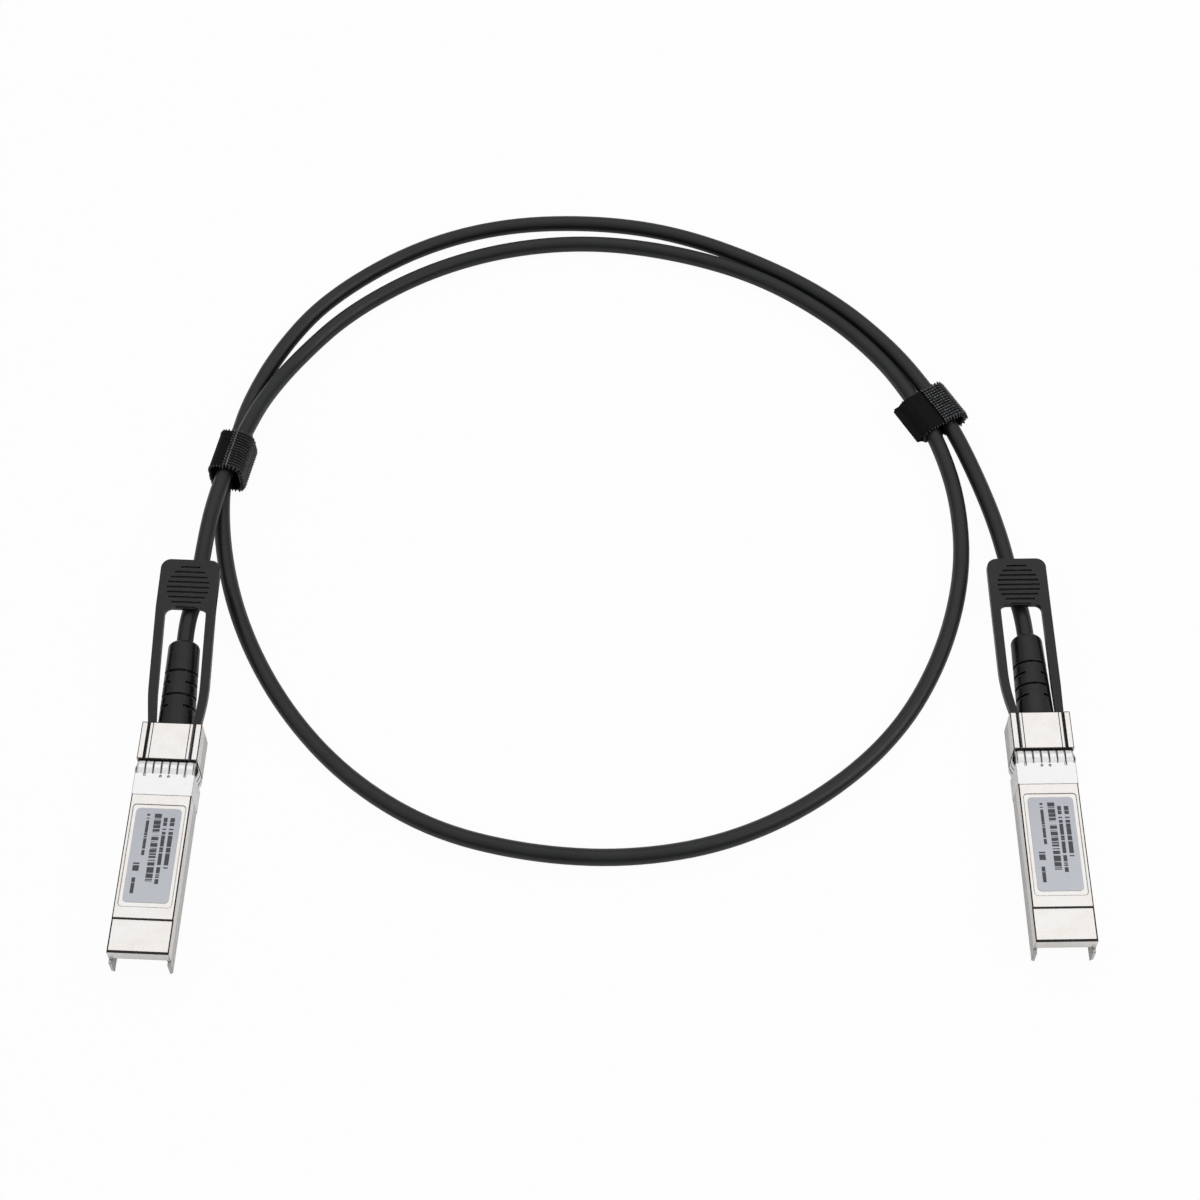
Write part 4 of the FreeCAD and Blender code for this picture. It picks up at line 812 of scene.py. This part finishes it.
def add_tie(side, tape, hooks, edging):
    """One tie: the turn next to the strands, the ribbed outer turn, hooks and toothed rims."""
    place = tie_frame(side)
    inner_width, inner_height = TIE_INNER[side]
    radius = CABLE_DIAMETER / 2 + TAPE / 2
    spots = round_path(inner_width + TAPE, inner_height + TAPE, STRAP_THICK - TAPE / 2, radius)
    fine = resample(spots, FINE_STEP)
    coarse = resample(spots, COARSE_STEP)
    outer = lifted(part_of(fine, *OUTER_TURN[side]), TAPE)
    outer_coarse = lifted(part_of(coarse, *OUTER_TURN[side]), TAPE)
    outer_width = STRAP_WIDTH - 0.2 * MM
    crown = 0.4 * TAPE
    pale_part = PALE_ROWS[side]

    def band(shape):
        add_band(shape, fine, TAPE, STRAP_WIDTH, place, 0.05 * MM, SEEDS["inner"])
        add_band(shape, outer, TAPE * 0.8, outer_width, place, 0.06 * MM, SEEDS["outer"])
        if side == "right":
            add_flag(shape, side, place)

    def hook_side(shape):
        add_ribs(shape, lifted(outer, crown), place)
        add_hook_field(shape, lifted(outer_coarse[:-pale_part], crown + 0.12 * MM), place)
        add_rim_teeth(shape, outer_coarse, outer_width, 0.8 * MM, place, SEEDS["outer_rim"])
        add_rim_teeth(shape, coarse, STRAP_WIDTH, 0.65 * MM, place, SEEDS["inner_rim"])

    def worn_end(shape):
        add_studs(shape, lifted(outer_coarse[-pale_part:], crown + 0.32 * MM), place)
        if side == "left":
            spot, along, out = outer[-3]
            add_cut_edge(shape, spot + out * (crown + 0.1 * MM), along, out, place)

    pieces = [
        add_mesh(f"{side}_tie_band", band, tape),
        add_mesh(f"{side}_tie_hooks", hook_side, hooks),
        add_mesh(f"{side}_tie_edge", worn_end, edging),
    ]
    for piece in pieces:
        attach(piece, ROOT)
    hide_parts(f"{side}_tie")
    return pieces


# ---------------------------------------------------------------- latch springs


# The coils: how long, how far out on both sides, the radius to the wire's middle, and the wire's.
SPRING_LENGTH = 2.72 * MM
SPRING_OUT = 5.15 * MM
SPRING_RADIUS = 0.59 * MM
SPRING_WIRE = 0.16 * MM
SPRING_TURNS = 5.0
SPRING_STEPS = 90
WIRE_SIDES = 6


def add_springs(side, material):
    """The two return springs behind the release slider, as real coils."""
    low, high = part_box(f"{side}_latch_springs")
    place = MODULE[side]
    inverse = place.inverted()
    ends = [
        (inverse @ Vector((x, y, low[2]))).y for x in (low[0], high[0]) for y in (low[1], high[1])
    ]
    # the box leans with the module, so its middle is taken, and the sleeve's own length
    middle = (min(ends) + max(ends)) / 2
    height = (low[2] + high[2]) / 2
    forward = Vector((0.0, 1.0, 0.0))

    def build(shape):
        start = middle - SPRING_LENGTH / 2 + SPRING_WIRE
        for across in (-SPRING_OUT, SPRING_OUT):
            rings = []
            for step in range(SPRING_STEPS + 1):
                part = step / SPRING_STEPS
                angle = math.tau * SPRING_TURNS * part
                along = start + (SPRING_LENGTH - 2 * SPRING_WIRE) * part
                out = Vector((math.cos(angle), 0.0, math.sin(angle)))
                centre = Vector((across, along, height)) + out * SPRING_RADIUS
                ring = []
                for corner in range(WIRE_SIDES):
                    turn = math.tau * corner / WIRE_SIDES
                    offset = (out * math.cos(turn) + forward * math.sin(turn)) * SPRING_WIRE
                    ring.append(place @ (centre + offset))
                rings.append(ring)
            add_tube(shape, rings)

    springs = add_mesh(f"{side}_springs", build, material, smooth=True)
    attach(springs, ROOT)
    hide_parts(f"{side}_latch_springs")
    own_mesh(springs)


# ---------------------------------------------------------------- studio


FLOOR_HALF = 3.0
FLOOR_LEVEL = -0.03 * MM
PAPER = (0.86, 0.86, 0.86, 1.0)
WHITE = (1.0, 1.0, 1.0, 1.0)
# How much of the floor's light is its own, for the camera and for reflections.
FLOOR_SHARES = (("Is Camera Ray", 0.96), ("Is Glossy Ray", 0.2))
# The sky's strength, the way to its brightest part, its darkest tone, and where it turns white.
SKY_STRENGTH = 0.82
SKY_BRIGHTEST = (0.0, 0.26, 0.96)
SKY_LOW = (0.15, 0.152, 0.157, 1.0)
SKY_WHITE_FROM = 0.90
LAMP_AIM = Vector((0.0, 0.05, 0.0))
# Each lamp's place, power in watts, and size.
LAMPS = {
    "overhead": ((0.0, 0.55, 1.0), 0.8, 1.3, 0.8),
    "key": ((0.9, -0.1, 0.9), 3.0, 0.8, 0.8),
    "fill": ((-0.95, -0.2, 0.7), 0.4, 0.8, 0.8),
}


def add_mix(tree, kind, factor, first, second):
    """A mix of two shaders, sent to the tree's output."""
    mix = tree.nodes.new("ShaderNodeMixShader")
    output = tree.nodes.new(kind)
    tree.links.new(factor, mix.inputs["Fac"])
    tree.links.new(first, mix.inputs[1])
    tree.links.new(second, mix.inputs[2])
    tree.links.new(mix.outputs["Shader"], output.inputs["Surface"])


def add_floor():
    """A pale floor that the camera sees as white, apart from the object's soft shadow."""
    material = bpy.data.materials.new("studio_floor")
    material.use_nodes = True
    tree = material.node_tree
    tree.nodes.clear()
    paper = tree.nodes.new("ShaderNodeBsdfDiffuse")
    paper.inputs["Color"].default_value = PAPER
    white = tree.nodes.new("ShaderNodeEmission")
    white.inputs["Strength"].default_value = 1.0
    path = tree.nodes.new("ShaderNodeLightPath")
    seen = tree.nodes.new("ShaderNodeMath")
    seen.operation = "MAXIMUM"
    for slot, (ray, share) in enumerate(FLOOR_SHARES):
        part = tree.nodes.new("ShaderNodeMath")
        part.operation = "MULTIPLY"
        part.inputs[1].default_value = share
        tree.links.new(path.outputs[ray], part.inputs[0])
        tree.links.new(part.outputs["Value"], seen.inputs[slot])
    paper_light, own_light = paper.outputs["BSDF"], white.outputs["Emission"]
    add_mix(tree, "ShaderNodeOutputMaterial", seen.outputs["Value"], paper_light, own_light)
    corners = [(-1, -1), (1, -1), (1, 1), (-1, 1)]
    spots = [(x * FLOOR_HALF, y * FLOOR_HALF, FLOOR_LEVEL) for x, y in corners]
    mesh = bpy.data.meshes.new("floor")
    mesh.from_pydata(spots, [], [(0, 1, 2, 3)])
    mesh.materials.append(material)
    floor = bpy.data.objects.new("floor", mesh)
    bpy.context.collection.objects.link(floor)


def add_world():
    """White to the camera; to all else a soft sky, brightest above and a little to the back."""
    world = bpy.data.worlds.new("studio")
    bpy.context.scene.world = world
    world.use_nodes = True
    tree = world.node_tree
    tree.nodes.clear()
    sky = tree.nodes.new("ShaderNodeBackground")
    sky.inputs["Strength"].default_value = SKY_STRENGTH
    white = tree.nodes.new("ShaderNodeBackground")
    white.inputs["Color"].default_value = WHITE
    path = tree.nodes.new("ShaderNodeLightPath")
    way = tree.nodes.new("ShaderNodeTexCoord")
    height = tree.nodes.new("ShaderNodeVectorMath")
    height.operation = "DOT_PRODUCT"
    height.inputs[1].default_value = SKY_BRIGHTEST
    ramp = tree.nodes.new("ShaderNodeValToRGB")
    low, high = ramp.color_ramp.elements
    low.position = 0.0
    low.color = SKY_LOW
    high.position = SKY_WHITE_FROM
    high.color = WHITE
    tree.links.new(way.outputs["Generated"], height.inputs[0])
    tree.links.new(height.outputs["Value"], ramp.inputs["Fac"])
    tree.links.new(ramp.outputs["Color"], sky.inputs["Color"])
    sky_light, white_light = sky.outputs["Background"], white.outputs["Background"]
    camera_ray = path.outputs["Is Camera Ray"]
    add_mix(tree, "ShaderNodeOutputWorld", camera_ray, sky_light, white_light)


def add_lamp(name, spot, power, size_x, size_y):
    """A soft box that points at the object."""
    data = bpy.data.lights.new(name, "AREA")
    data.shape = "RECTANGLE"
    data.size = size_x
    data.size_y = size_y
    data.energy = power
    lamp = bpy.data.objects.new(name, data)
    lamp.location = spot
    lamp.rotation_mode = "QUATERNION"
    lamp.rotation_quaternion = (LAMP_AIM - Vector(spot)).to_track_quat("-Z", "Y")
    bpy.context.collection.objects.link(lamp)


def add_studio():
    """The floor, the sky, the lamps and the plain view transform."""
    add_floor()
    add_world()
    for name, values in LAMPS.items():
        add_lamp(name, *values)
    bpy.context.scene.view_settings.view_transform = "Standard"


# ---------------------------------------------------------------- put it together

add_camera()
cable = add_cable()
cable.data.materials.append(cable_look())
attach(cable, ROOT)
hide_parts("cable_jacket")

finish_nodes()
tape = cloth_look("tie_tape", (0.0020, 0.0020, 0.0022), (0.0075, 0.0075, 0.0080))
hooks = hook_look("hook_nylon", (0.014, 0.014, 0.016), (0.060, 0.062, 0.066))
edging = hook_look("tie_edging", (0.10, 0.104, 0.110), (0.300, 0.310, 0.320))
on_cable = []
for side in SIDES:
    on_cable += add_tie(side, tape, hooks, edging)
steel = (0.50, 0.50, 0.50), (0.75, 0.75, 0.74)
spring_wire = plain_look("spring_wire", *steel, 0.22, 1500.0, 1.0)
for side in SIDES:
    add_springs(side, spring_wire)

add_studio()
